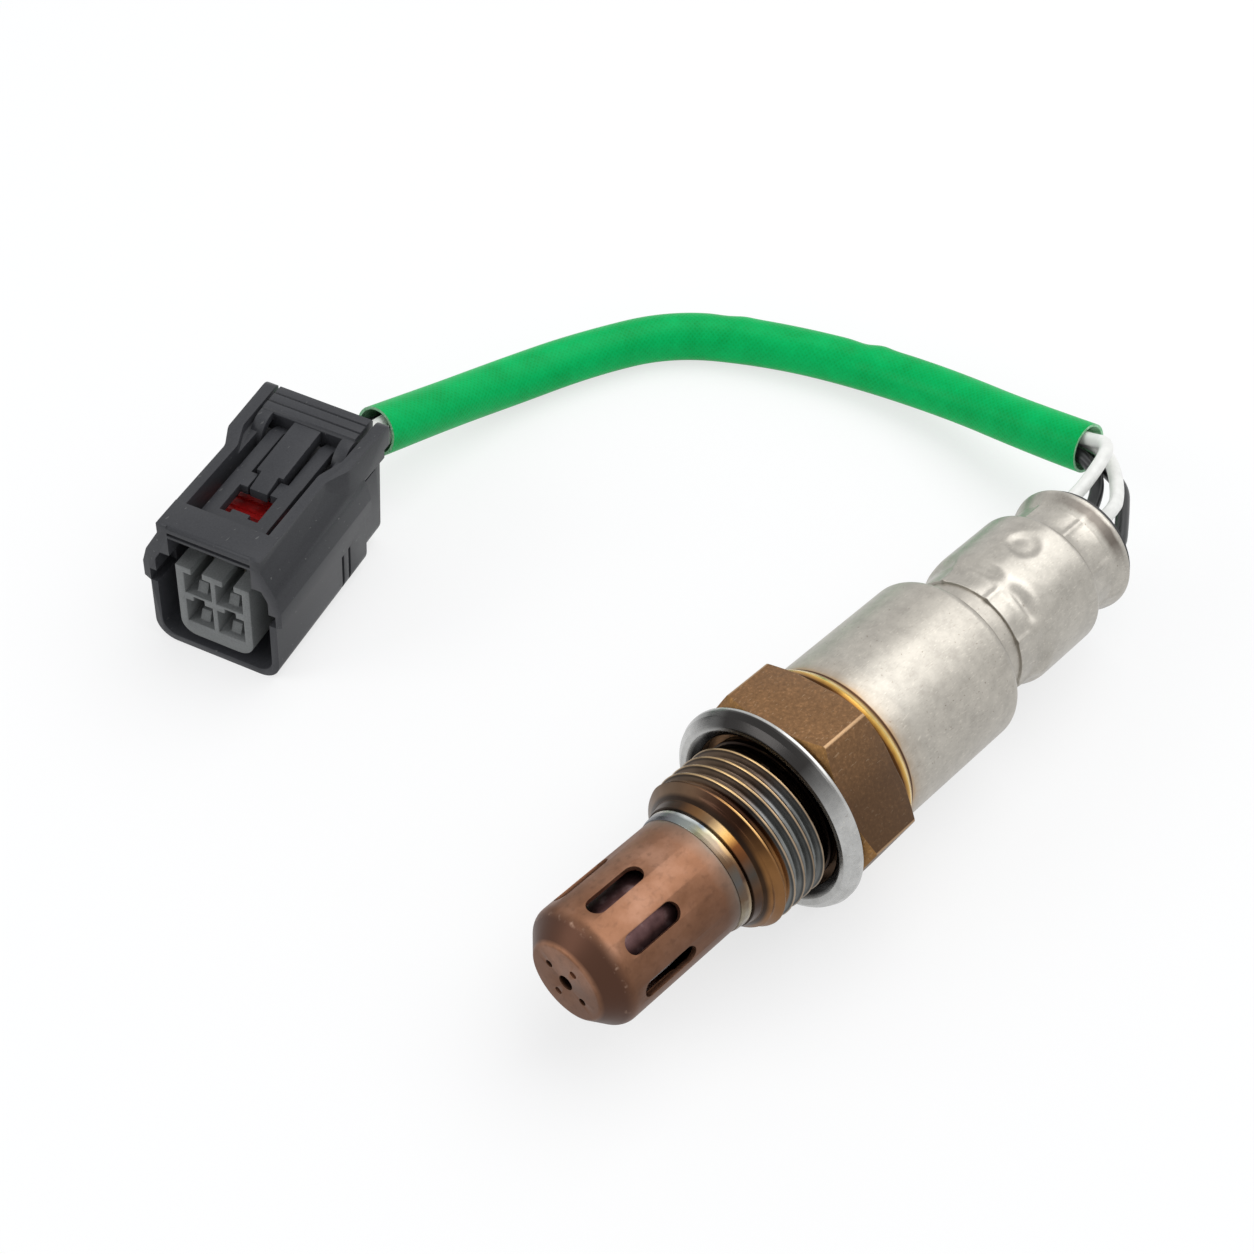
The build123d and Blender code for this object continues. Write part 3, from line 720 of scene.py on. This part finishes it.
def cut_braid():
    """Pale raw end of the braid, where the coating is cut."""
    f = Finish("cut_braid", (0.3, 0.62, 0.36), 0.7)
    fray = f.noise(f.place(), 2600, 4)
    f.colour(f.ramp(fray, [(0.3, (0.1, 0.42, 0.16)), (0.7, (0.42, 0.72, 0.48))]))
    f.bump(fray, 0.5, 0.08)
    return f.material


# ------------ sensor
THREAD_RADIUS, THREAD_DEPTH, THREAD_PITCH = 9.0, 0.8, 1.5
THREAD_START = 3.1                # middle of the rear crest, where it passes THREAD_TURN
THREAD_TURN = radians(67)
THREAD_REAR, BLANK_RADIUS, RELIEF_RADIUS = 2.75, 8.5, 8.4
LEAD_IN_END, LEAD_IN_FRONT, LEAD_IN_SLOPE = 10.4, 7.4, 1.5
FLATS, HEX_LENGTH, HEX_ROLL, HEX_CORNER, HEX_BORE = 21.94, 7.9, radians(11.2), 0.45, 8.3
CHAMFER_INNER, CHAMFER_OUTER = 10.95, 12.9
JAW_APART, JAW_RIDGE = pi / 4, radians(36)
DENT_ALONG, DENT_ANGLE, BULGE_RADIUS = -41.9, radians(95), 8.45


def threaded_nose():
    """Nose, lead-in, thread and relief in one turned piece, with the thread wound on it."""
    nose = [(11.4, 6.75), (11.4, 7.2, 0.08), (LEAD_IN_END, LEAD_IN_FRONT, 0.08)]
    blank = [(0.075 * k, BLANK_RADIUS) for k in range(138, 34, -1)]
    relief = [(2.4, 8.4, 0.1), (2.0, 8.4), (1.9, 8.2), (1.3, 8.2), (1.2, 8.4), (0.7, 8.4),
              (0.6, 8.25), (-2.0, 8.25), (-2.0, 6.75)]
    piece = turned("thread_blank", nose + blank + relief, closed=True)
    return smooth(reshape(piece, wound), 60)


def wound(along, angle, radius):
    """Radius of a right-hand thread at one place, cut down by the lead-in cone in front."""
    if radius < BLANK_RADIUS - 0.05:
        return radius
    turns = (along - THREAD_START) / THREAD_PITCH - (angle - THREAD_TURN) / (2 * pi)
    off_crest = abs(turns - round(turns)) * THREAD_PITCH
    fall = min(1.0, max(0.0, (off_crest - 0.06) / 0.52))
    top = THREAD_RADIUS - THREAD_DEPTH * fall
    if along < THREAD_REAR:
        return (RELIEF_RADIUS + top) / 2
    return min(top, LEAD_IN_FRONT + (LEAD_IN_END - along) * LEAD_IN_SLOPE)


def hexagon_bar():
    """Six-sided bar about the sensor's axis, with its long edges rounded."""
    nothing_selected()
    bpy.ops.mesh.primitive_cylinder_add(
        vertices=6, radius=FLATS / 2 / cos(pi / 6) * MM, depth=HEX_LENGTH * MM,
        rotation=(0, pi / 2, 0), location=((FACE_X - HEX_LENGTH / 2) * MM, 0, AXIS_Z * MM))
    piece = settle(named("hexagon"))
    top = max(piece.data.vertices, key=lambda v: v.co.z)
    now = atan2(top.co.z - AXIS_Z * MM, top.co.y)
    about_axis(piece, HEX_ROLL + pi / 3 - now)
    edit(piece)
    finish_edit()
    for edge in piece.data.edges:
        a, b = (piece.data.vertices[i].co for i in edge.vertices)
        edge.select = abs(a.x - b.x) > MM
    bpy.ops.object.mode_set(mode="EDIT")
    bpy.ops.mesh.select_mode(type="EDGE")
    bpy.ops.mesh.bevel(offset=HEX_CORNER * tan(pi / 6) * MM, segments=6)
    bpy.ops.mesh.select_mode(type="VERT")
    finish_edit()
    return piece


def hexagon():
    """Hexagon with turned chamfers on both ends, and rubbed edges that are partly a painted
    highlight.
    """
    piece = hexagon_bar()
    rim = CHAMFER_OUTER - CHAMFER_INNER
    front, rear = -rim * tan(radians(30)), rim * tan(radians(26.5)) - HEX_LENGTH
    cone = turned("chamfer_cone", [
        (0, 0), (0, CHAMFER_INNER), (front, CHAMFER_OUTER), (rear, CHAMFER_OUTER),
        (-HEX_LENGTH, CHAMFER_INNER), (-HEX_LENGTH, 0)])
    cut(piece, [cone], "INTERSECT")
    beyond = -HEX_LENGTH - 1
    cut(piece, [turned("hexagon_bore", [(1, 0), (1, HEX_BORE), (beyond, HEX_BORE), (beyond, 0)])])
    # 0.72 is the share of painted shade on the hexagon's +Y side and underside
    bronze = shell_bronze("shell_bronze", (0.222, 0.117, 0.052), 0.72)
    # lighter colour on the bevelled edges: partly rubbed metal, partly a painted highlight
    worn_and_highlit = shell_bronze("worn_highlit_bronze", (0.48, 0.31, 0.17))
    golden = shell_bronze("chamfer_bronze", (0.27, 0.14, 0.047))
    coat(piece, [bronze, worn_and_highlit, golden])
    for face in piece.data.polygons:
        face.material_index = 2 if 0.5 < face.normal.x < 0.97 else 0
    applied(piece, "BEVEL", width=0.12 * MM, segments=2, limit_method="ANGLE",
            angle_limit=radians(22), material=1)
    return smooth(piece, 18)


def threaded_shell():
    """Hexagon, threaded nose, hidden rear collar and the weld on the nose, joined in one."""
    hex_part = hexagon()
    nose = coat(threaded_nose(), [thread_finish()])
    collar = turned("rear_collar", [(-7.1, 6.9), (-7.1, 9.35), (-14.0, 9.35), (-14.8, 8.6, 0.4),
                                    (-14.8, 6.0), (-14.0, 6.0), (-14.0, 6.9)], closed=True)
    coat(collar, [hex_part.data.materials[0]])
    weld = turned("nose_weld", [(12.95, 6.6), (12.9, 6.85, 0.05), (12.5, 6.96, 0.3),
                                (11.65, 7.02, 0.15), (11.4, 6.9)])
    coat(weld, [nose_tint()])
    piece = joined("threaded_shell_body", [hex_part, nose, collar, weld])
    return register(piece, "threaded_shell")


def gasket():
    """Folded sealing ring: a straight rim, an outer slope and a dished inner face."""
    outline = [(0.02, 9.3), (0.02, 11.5, 0.1), (0.36, 11.97, 0.12), (0.95, 11.97, 0.12),
               (1.55, 11.7, 0.2), (2.2, 10.95, 0.25), (2.15, 10.3, 0.3), (1.25, 9.25, 0.2)]
    piece = turned("sealing_ring", outline, closed=True)
    return dress(piece, [gasket_steel()], "gasket_ring")


def slot_cutters():
    """Round-ended pins for the slots in the protector's side."""
    count, first = 8, radians(9.6 - 90)
    length, width, middle, radius = 7.1, 2.2, 23.0, 6.8
    cutters = []
    for k in range(count):
        nothing_selected()
        bpy.ops.mesh.primitive_cylinder_add(
            vertices=32, radius=width / 2 * MM, depth=4 * MM,
            location=((FACE_X + middle) * MM, 0, (AXIS_Z + radius) * MM))
        tool = settle(named("slot_tool_%d" % k))
        for vertex in tool.data.vertices:
            side = 1 if vertex.co.x > (FACE_X + middle) * MM else -1
            vertex.co.x += side * (length - width) / 2 * MM
        cutters.append(about_axis(tool, first + 2 * pi * k / count))
    return cutters


def tip_cutters():
    """Pins for the middle hole, the two small holes and the two punch marks in the tip."""
    circle, small, through, mark = 2.4, 0.42, 1.0, 0.22
    holes = [(0, 0, 0.86, 1.2)]
    for angle, depth in ((-21, through), (69, mark), (159, through), (249, mark)):
        y, z = circle * cos(radians(angle)), circle * sin(radians(angle))
        holes.append((y, z, small, depth))
    cutters = []
    for y, z, radius, depth in holes:
        nothing_selected()
        bpy.ops.mesh.primitive_cylinder_add(
            vertices=24, radius=radius * MM, depth=2 * depth * MM, rotation=(0, pi / 2, 0),
            location=((FACE_X + 30.5) * MM, y * MM, (AXIS_Z + z) * MM))
        cutters.append(settle(named("tip_tool")))
    return cutters


def outer_protector():
    """Drawn cup with a bevelled nose, eight slots, three holes and two punch marks."""
    outline = [(11.5, 6.72), (12.95, 6.75), (28.2, 6.75, 1.8), (30.5, 4.4, 0.5), (30.5, 0),
               (29.95, 0), (29.95, 4.1), (27.9, 6.2, 1.0), (11.5, 6.2)]
    piece = turned("slotted_protector", outline, steps=8)
    edit(piece, "SELECT")
    bpy.ops.mesh.remove_doubles(threshold=0.005 * MM)
    finish_edit()
    cut(piece, slot_cutters() + tip_cutters())
    applied(piece, "BEVEL", width=0.1 * MM, segments=2, limit_method="ANGLE",
            angle_limit=radians(50))
    smooth(piece, 32)
    return dress(piece, [protector_copper()], "outer_protector")


def weld_ring():
    """Bead between the hexagon and the barrel."""
    outline = [(-7.1, 9.6), (-7.1, 10.8, 0.1), (-8.1, 10.92, 0.3), (-8.75, 10.85, 0.3),
               (-9.35, 10.5, 0.3), (-9.85, 10.12), (-9.9, 9.9)]
    piece = turned("weld_bead", outline)
    return dress(piece, [weld_gold()], "weld_ring")


def front_sleeve():
    """Drawn barrel with a rounded shoulder and a narrow neck."""
    outline = [(-7.3, 9.5), (-7.3, 10.1), (-8.3, 10.08), (-29.2, 10.1, 1.35), (-29.2, 7.35, 0.25),
               (-33.5, 7.3), (-33.5, 6.8), (-28.6, 6.8), (-28.6, 9.5)]
    piece = turned("front_barrel", outline, closed=True, steps=8)
    return dress(piece, [sleeve_steel()], "front_sleeve")


def rear_tube():
    """Crimped tube over the neck, with its crimp marks, one round dent and a flared lip."""
    outline = [(-32.6, 7.2), (-32.75, 7.72, 0.12)]
    outline += [(-0.25 * k - 34.2, 8.1 - 0.35 * cos(pi * k / 12)) for k in range(13)]
    outline += [(-0.35 * k - 37.6, 8.45) for k in range(24)]
    outline += [(-46.2, 8.45, 0.8), (-47.3, 7.15, 0.4), (-48.5, 7.1), (-50.9, 7.1, 0.5),
                (-52.6, 7.75, 0.3), (-53.0, 7.85, 0.12), (-53.25, 7.85, 0.1), (-53.3, 7.4),
                (-52.9, 7.3), (-51.2, 6.55), (-46.9, 6.55), (-45.8, 7.9), (-40.6, 7.9),
                (-37.5, 7.2)]
    piece = turned("rear_barrel", outline, closed=True, sides=192)
    smooth(reshape(piece, pressed), 40)
    return dress(piece, [rear_steel()], "rear_tube")


def pressed(along, angle, radius):
    """Radius of the tube's outer wall with its marks; the bore and the lip's back keep theirs."""
    behind_lip = along < -51.5 and radius < 7.5
    if radius <= 7.0 or behind_lip:
        return radius
    return radius + crimp_mark(along, angle) - dent(along, angle)


def crimp_mark(along, angle):
    """Marks of eight crimping jaws: flats on the neck and the waist, flutes in the shoulder."""
    depth = 0.0
    if -35.2 < along < -32.0:
        depth = min(1.0, (along + 35.2) / 0.4)
    if -51.6 < along < -47.2:
        depth = min(1.0, (along + 51.6) / 0.8, (-47.2 - along) / 0.4)
    off_ridge = abs((angle - JAW_RIDGE + JAW_APART / 2) % JAW_APART - JAW_APART / 2)
    flute = exp(-((along + 36.0) / 0.85) ** 2) * (1 - exp(-(off_ridge / 0.16) ** 2))
    return depth * (0.2 * exp(-(off_ridge / 0.05) ** 2) - 0.12) - 0.5 * flute


def dent(along, angle):
    """Round dimple in the top of the bulge."""
    depth, reach, softness = 0.42, 1.75, 0.22
    away = hypot(along - DENT_ALONG, (angle - DENT_ANGLE) * BULGE_RADIUS)
    return depth / (1 + exp((away - reach) / softness))


# ------------ lead
BRAID_RADIUS, BRAID_BORE = 3.1, 2.75
BRAID_SIDES, RAW_ROWS = 48, 12    # sides of the tube, and rows of its bore with raw braid
WIRE_RADIUS, WIRE_CIRCLE, WIRE_ROLL = 0.85, 4.2, 67.0
BUNDLE_RADIUS, BUNDLE_TWIST = 1.25, 90.0
GROMMET_FRONT, STRAIGHT_END = -46.0, -57.9
PLUG_LEAN, BASE_ROUND, HALF_WIDTH = radians(1.5), 2.6, 8.05
EDGE_DROP = (HALF_WIDTH - BASE_ROUND) * sin(PLUG_LEAN) + BASE_ROUND * (1 - cos(PLUG_LEAN))
PLUG_PLACE = (Matrix.Translation((34.15, -63.82, EDGE_DROP))
              @ Matrix.Rotation(radians(19.45), 4, "Z") @ Matrix.Rotation(-PLUG_LEAN, 4, "X"))
PLUG_LENGTH, PLUG_STRAIGHT, SEAL_FRONT = 25.4, 3.4, 19.0
CELLS = [(-2.0, 5.9), (2.0, 5.9), (-2.0, 10.4), (2.0, 10.4)]
BRAID_ROUTE = [
    (-58.3, -9.4, 10.6), (-58.6, -18.5, 8.2), (-59.7, -29.9, 5.2), (-57.7, -42.3, 3.5),
    (-52.1, -54.8, 3.15), (-44.3, -65.1, 3.15), (-32.3, -70.1, 3.15), (-19.8, -72.7, 3.7),
    (-8.4, -72.9, 6.3), (1.7, -72.6, 9.0),
]
# Quarter turn round the grommet, place in the sleeve, cell in the plug, free curl.
WIRES = {
    "white_1": (1, 1, 1, [(-52.8, -4.7, 15.3), (-56.8, -6.4, 14.4)]),
    "white_2": (0, 0, 3, [(-51.2, -1.0, 13.7), (-57.1, -5.4, 12.0)]),
    "black_1": (2, 2, 0, [(-50.8, -3.5, 7.4), (-55.4, -5.3, 9.8)]),
    "black_2": (3, 3, 2, [(-51.6, 0.3, 10.2), (-57.0, -3.1, 9.7)]),
}


def bundle_point(k, turn):
    """Place of a wire beside point k of the sleeve, turned from the bend's outer side."""
    points = [Vector(p) for p in BRAID_ROUTE]
    before = points[max(k, 1)] - points[max(k, 1) - 1]
    after = points[k + 1] - points[k] if k + 1 < len(points) else before
    along = (before.normalized() + after.normalized()).normalized()
    outward = along.cross(Vector((0, 0, 1))).normalized()
    above = outward.cross(along)
    mitre = cos(before.angle(after) / 2)
    return points[k] + (outward * cos(turn) / mitre + above * sin(turn)) * BUNDLE_RADIUS


def wire_route(name):
    """Route of one wire: grommet, free curl, sleeve, then its own cell of the plug."""
    hole, quarter, cell, curl = WIRES[name]
    angle = radians(WIRE_ROLL + hole * 90)
    y, z = WIRE_CIRCLE * cos(angle), AXIS_Z + WIRE_CIRCLE * sin(angle)
    route = [Vector((FACE_X + x, y, z)) for x in (GROMMET_FRONT, STRAIGHT_END)]
    route += [Vector(p) for p in curl]
    last = len(BRAID_ROUTE) - 1
    for k in range(last + 1):
        route.append(bundle_point(k, radians(quarter * 90 + BUNDLE_TWIST * k / last)))
    y, z = CELLS[cell]
    route += [PLUG_PLACE @ Vector((x, y, z)) for x in (-PLUG_LENGTH - PLUG_STRAIGHT, -SEAL_FRONT)]
    return route


def route_curve(name, route, radius=0.0):
    """Smooth curve led by the route's points; with a radius it is a round wire."""
    curve = bpy.data.curves.new(name, "CURVE")
    curve.dimensions = "3D"
    curve.resolution_u = 10
    curve.bevel_depth = radius * MM
    curve.bevel_resolution = 5
    curve.use_fill_caps = True
    spline = curve.splines.new("NURBS")
    spline.points.add(len(route) - 1)
    for point, place in zip(spline.points, route):
        point.co = (*(Vector(place) * MM), 1)
    spline.order_u = 3
    spline.use_endpoint_u = True
    return linked(name, curve)


def line_of(route):
    """Points along the route's smooth curve, in metres."""
    guide = route_curve("guide", route)
    guide.data.resolution_u = 24
    bpy.context.view_layer.update()
    mesh = bpy.data.meshes.new_from_object(guide)
    points = [v.co.copy() for v in mesh.vertices]
    bpy.data.meshes.remove(mesh)
    bpy.data.objects.remove(guide)
    return points


def lengths_along(points):
    """Distance from the first point to each point."""
    lengths = [0.0]
    for a, b in zip(points, points[1:]):
        lengths.append(lengths[-1] + (b - a).length)
    return lengths


def braid_rings(line, lengths):
    """Points of the braid's two walls, and the numbers of each ring of them along the line."""
    points, rings = [], []
    up = Vector((0, 0, 1))
    for k, centre in enumerate(line):
        ahead = (line[min(k + 1, len(line) - 1)] - line[max(k - 1, 0)]).normalized()
        up = (up - ahead * up.dot(ahead)).normalized()
        across = ahead.cross(up)
        for radius in (BRAID_RADIUS, BRAID_BORE):
            rings.append(range(len(points), len(points) + BRAID_SIDES))
            for i in range(BRAID_SIDES):
                angle = 2 * pi * i / BRAID_SIDES
                reach = radius * (1 + sleeve_swell(lengths[k] / MM, angle)) * MM
                points.append(centre + (up * cos(angle) + across * sin(angle)) * reach)
    return points, rings


def braid_band(a, b, row, next_row, material, turned_over):
    """Faces between two rings, each with its UV corners and its material."""
    band = []
    for i in range(BRAID_SIDES):
        j = (i + 1) % BRAID_SIDES
        face = [a[i], a[j], b[j], b[i]]
        corners = [(i, row), (i + 1, row), (i + 1, next_row), (i, next_row)]
        if turned_over:
            face.reverse()
            corners.reverse()
        band.append((face, corners, material))
    return band


def braid_faces(rings, last):
    """Outer wall, bore and the two raw rims; outer rings come first in each pair."""
    coated, raw = 0, 1
    faces = []
    for k in range(last):
        near_end = k < RAW_ROWS or k >= last - RAW_ROWS
        outer, bore, next_outer, next_bore = rings[2 * k:2 * k + 4]
        faces += braid_band(outer, next_outer, k, k + 1, coated, True)
        faces += braid_band(bore, next_bore, k, k + 1, raw if near_end else coated, False)
    for k in (0, last):
        faces += braid_band(rings[2 * k], rings[2 * k + 1], k, k, raw, k == 0)
    return faces


def green_sleeve():
    """Braided tube on the lead: an outer wall, an inner wall and raw rims."""
    line = line_of(BRAID_ROUTE)
    lengths = lengths_along(line)
    points, rings = braid_rings(line, lengths)
    faces = braid_faces(rings, len(line) - 1)
    mesh = bpy.data.meshes.new("green_braided_sleeve")
    mesh.from_pydata(points, [], [face for face, corners, material in faces])
    layer = mesh.uv_layers.new(name="UVMap")
    places = [corner for face, corners, material in faces for corner in corners]
    for loop, (i, k) in zip(layer.data, places):
        loop.uv = (i / BRAID_SIDES, lengths[k])
    piece = linked("green_braided_sleeve", mesh)
    dress(piece, [green_braid(), cut_braid()], "green_sleeve")
    for polygon, (face, corners, material) in zip(mesh.polygons, faces):
        polygon.material_index = material
    facing_out(piece)
    smooth(piece, 50)
    return piece


def sleeve_swell(along, angle):
    """Small unevenness of the braid: slow waves and two creases, each with a raised lip."""
    wave = 0.012 * sin(along * 0.23 + 2 * angle) + 0.01 * sin(along * 0.11 - 3 * angle)
    creases = 0.0
    for place, height in ((33.5, 0.055), (52.0, 0.03)):
        lip = exp(-((along - place + 1.0) / 1.3) ** 2)
        fold = exp(-((along - place - 1.5) / 1.5) ** 2)
        creases += height * (lip - fold) * (0.5 + 0.5 * cos(angle - 0.6))
    return wave + creases


def wires():
    """Four wires, each along its own route that ends in its cell of the plug."""
    finishes = {
        "white": wire_insulation("white_insulation", (0.86, 0.86, 0.82), 0.32),
        "black": wire_insulation("black_insulation", (0.012, 0.013, 0.014), 0.3),
    }
    for name in WIRES:
        route = wire_route(name)
        piece = route_curve("lead_wire_" + name, route, WIRE_RADIUS)
        shade = name.split("_")[0]
        dress(piece, [finishes[shade]], "wire_" + name)
        length = lengths_along(line_of(route))[-1]


# ------------ plug and inner pieces
def plug():
    """Latching housing, four-cell insert, rear cover and the two red seals."""
    charcoal = moulded_plastic("plug_charcoal", (0.034, 0.035, 0.039), 0.34, 0.48)
    grey = moulded_plastic("insert_grey", (0.15, 0.156, 0.154), 0.34, 0.48)
    red = rubber("seal_red", (0.42, 0.01, 0.01), 0.3, 0.45)
    housing = moulded_copy("latching_housing", "plug_housing", 0.22)
    dress(housing, [charcoal], "plug_housing")
    insert = moulded_copy("four_cell_insert", "terminal_block", 0.14)
    dress(insert, [grey], "terminal_block")
    paint({"rear_cover": charcoal, "ring_seal": red, "wire_seal": red})


def paint(finishes):
    """Gives CAD nodes their materials; their meshes stay as they are."""
    for node, material in finishes.items():
        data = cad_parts[node].data
        if data.materials:
            for k in range(len(data.materials)):
                data.materials[k] = material
        else:
            data.materials.append(material)


def inner_pieces():
    steel, dull = spring_steel(), dull_steel()
    tin = bright_steel("terminal_tin", (0.66, 0.62, 0.52), 0.25, 0.4).material
    black = rubber("grommet_rubber", (0.018, 0.018, 0.019))
    paint({
        "inner_protector": dull, "seat_washer": steel, "crimp_ring": steel,
        "holder_spring": steel, "signal_contacts": steel, "heater_contacts": steel,
        "plug_terminals": tin, "grommet": black,
        "sensing_thimble": ceramic("white_ceramic", (0.8, 0.79, 0.75)),
        "heater_rod": ceramic("grey_ceramic", (0.55, 0.54, 0.52)),
        "talc_ring": ceramic("pressed_talc", (0.62, 0.62, 0.6)),
        "insulating_sleeve": ceramic("cream_ceramic", (0.7, 0.68, 0.62)),
        "contact_holder": ceramic("holder_ceramic", (0.68, 0.66, 0.6)),
    })


# ------------ floor, light, camera
def floor():
    """Pale ground that keeps a light shadow under the object."""
    nothing_selected()
    bpy.ops.mesh.primitive_plane_add(size=4.0, location=(0, 0, 0))
    piece = settle(named("studio_floor"))
    f = Finish("pale_floor", (0.93, 0.93, 0.93), 0.9)
    f.set("Specular IOR Level", 0.0)
    white = f.node("ShaderNodeEmission")
    white.inputs["Color"].default_value = (1, 1, 1, 1)
    seen = seen_directly(f.tree, 0.7)
    both = f.node("ShaderNodeMixShader")
    f.link(seen, both.inputs["Fac"])
    f.link(f.shader.outputs[0], both.inputs[1])
    f.link(white.outputs[0], both.inputs[2])
    f.link(both.outputs[0], f.tree.nodes["Material Output"].inputs["Surface"])
    piece.data.materials.append(f.material)


def seen_directly(tree, share):
    """A share for rays from the camera, off metal and through glass, and none for others."""
    path = tree.nodes.new("ShaderNodeLightPath")
    total = path.outputs["Is Camera Ray"]
    for ray in ("Is Glossy Ray", "Is Transmission Ray"):
        either = tree.nodes.new("ShaderNodeMath")
        either.operation = "MAXIMUM"
        tree.links.new(total, either.inputs[0])
        tree.links.new(path.outputs[ray], either.inputs[1])
        total = either.outputs[0]
    scale = tree.nodes.new("ShaderNodeMath")
    scale.operation = "MULTIPLY"
    tree.links.new(total, scale.inputs[0])
    scale.inputs[1].default_value = share
    return scale.outputs[0]


def area_light(name, place, target, size, power):
    light = bpy.data.lights.new(name, "AREA")
    light.shape = "RECTANGLE"
    light.size, light.size_y = size
    light.energy = power
    lamp = linked(name, light)
    lamp.location = place
    lamp.rotation_euler = (Vector(place) - Vector(target)).to_track_quat("Z", "Y").to_euler()


def studio():
    """White surroundings, a broad lamp above and a smaller one at the side."""
    world = bpy.data.worlds.new("studio_world")
    bpy.context.scene.world = world
    world.use_nodes = True
    tree = world.node_tree
    room = tree.nodes["Background"]
    room.inputs["Color"].default_value = (0.95, 0.97, 1.0, 1)
    room.inputs["Strength"].default_value = 0.6
    backdrop = tree.nodes.new("ShaderNodeBackground")
    backdrop.inputs["Color"].default_value = (1, 1, 1, 1)
    both = tree.nodes.new("ShaderNodeMixShader")
    tree.links.new(seen_directly(tree, 1.0), both.inputs["Fac"])
    tree.links.new(room.outputs[0], both.inputs[1])
    tree.links.new(backdrop.outputs[0], both.inputs[2])
    tree.links.new(both.outputs[0], tree.nodes["World Output"].inputs["Surface"])
    middle = (0, -0.02, 0)
    area_light("key_softbox", (-0.25, 0.05, 0.62), middle, (0.72, 0.6), 2.6)
    area_light("side_softbox", (0.55, -0.35, 0.35), middle, (0.35, 0.35), 1.2)


def camera():
    """Camera high in front of the sensor's tip, on the side away from the plug."""
    focal_pixels, frame_pixels, film_width = 2077.0, 1254.0, 36.0
    azimuth, elevation, roll = radians(129.899), radians(47.208), radians(4.584)
    aim, distance = Vector((-2.886, -34.321, 0.4)) * MM, 244.36 * MM
    back = Vector((sin(azimuth) * cos(elevation), -cos(azimuth) * cos(elevation), sin(elevation)))
    data = bpy.data.cameras.new("view_camera")
    data.sensor_width = film_width
    data.lens = focal_pixels / frame_pixels * film_width
    data.clip_start = 0.01
    lens = linked("view_camera", data)
    lens.location = aim + back * distance
    turn = back.to_track_quat("Z", "Y") @ Quaternion((0, 0, 1), roll)
    lens.rotation_euler = turn.to_euler()
    bpy.context.scene.camera = lens


threaded_shell()
gasket()
outer_protector()
weld_ring()
front_sleeve()
rear_tube()
inner_pieces()
plug()
green_sleeve()
wires()
floor()
studio()
camera()
bpy.context.scene.view_settings.view_transform = "Standard"
nothing_selected()
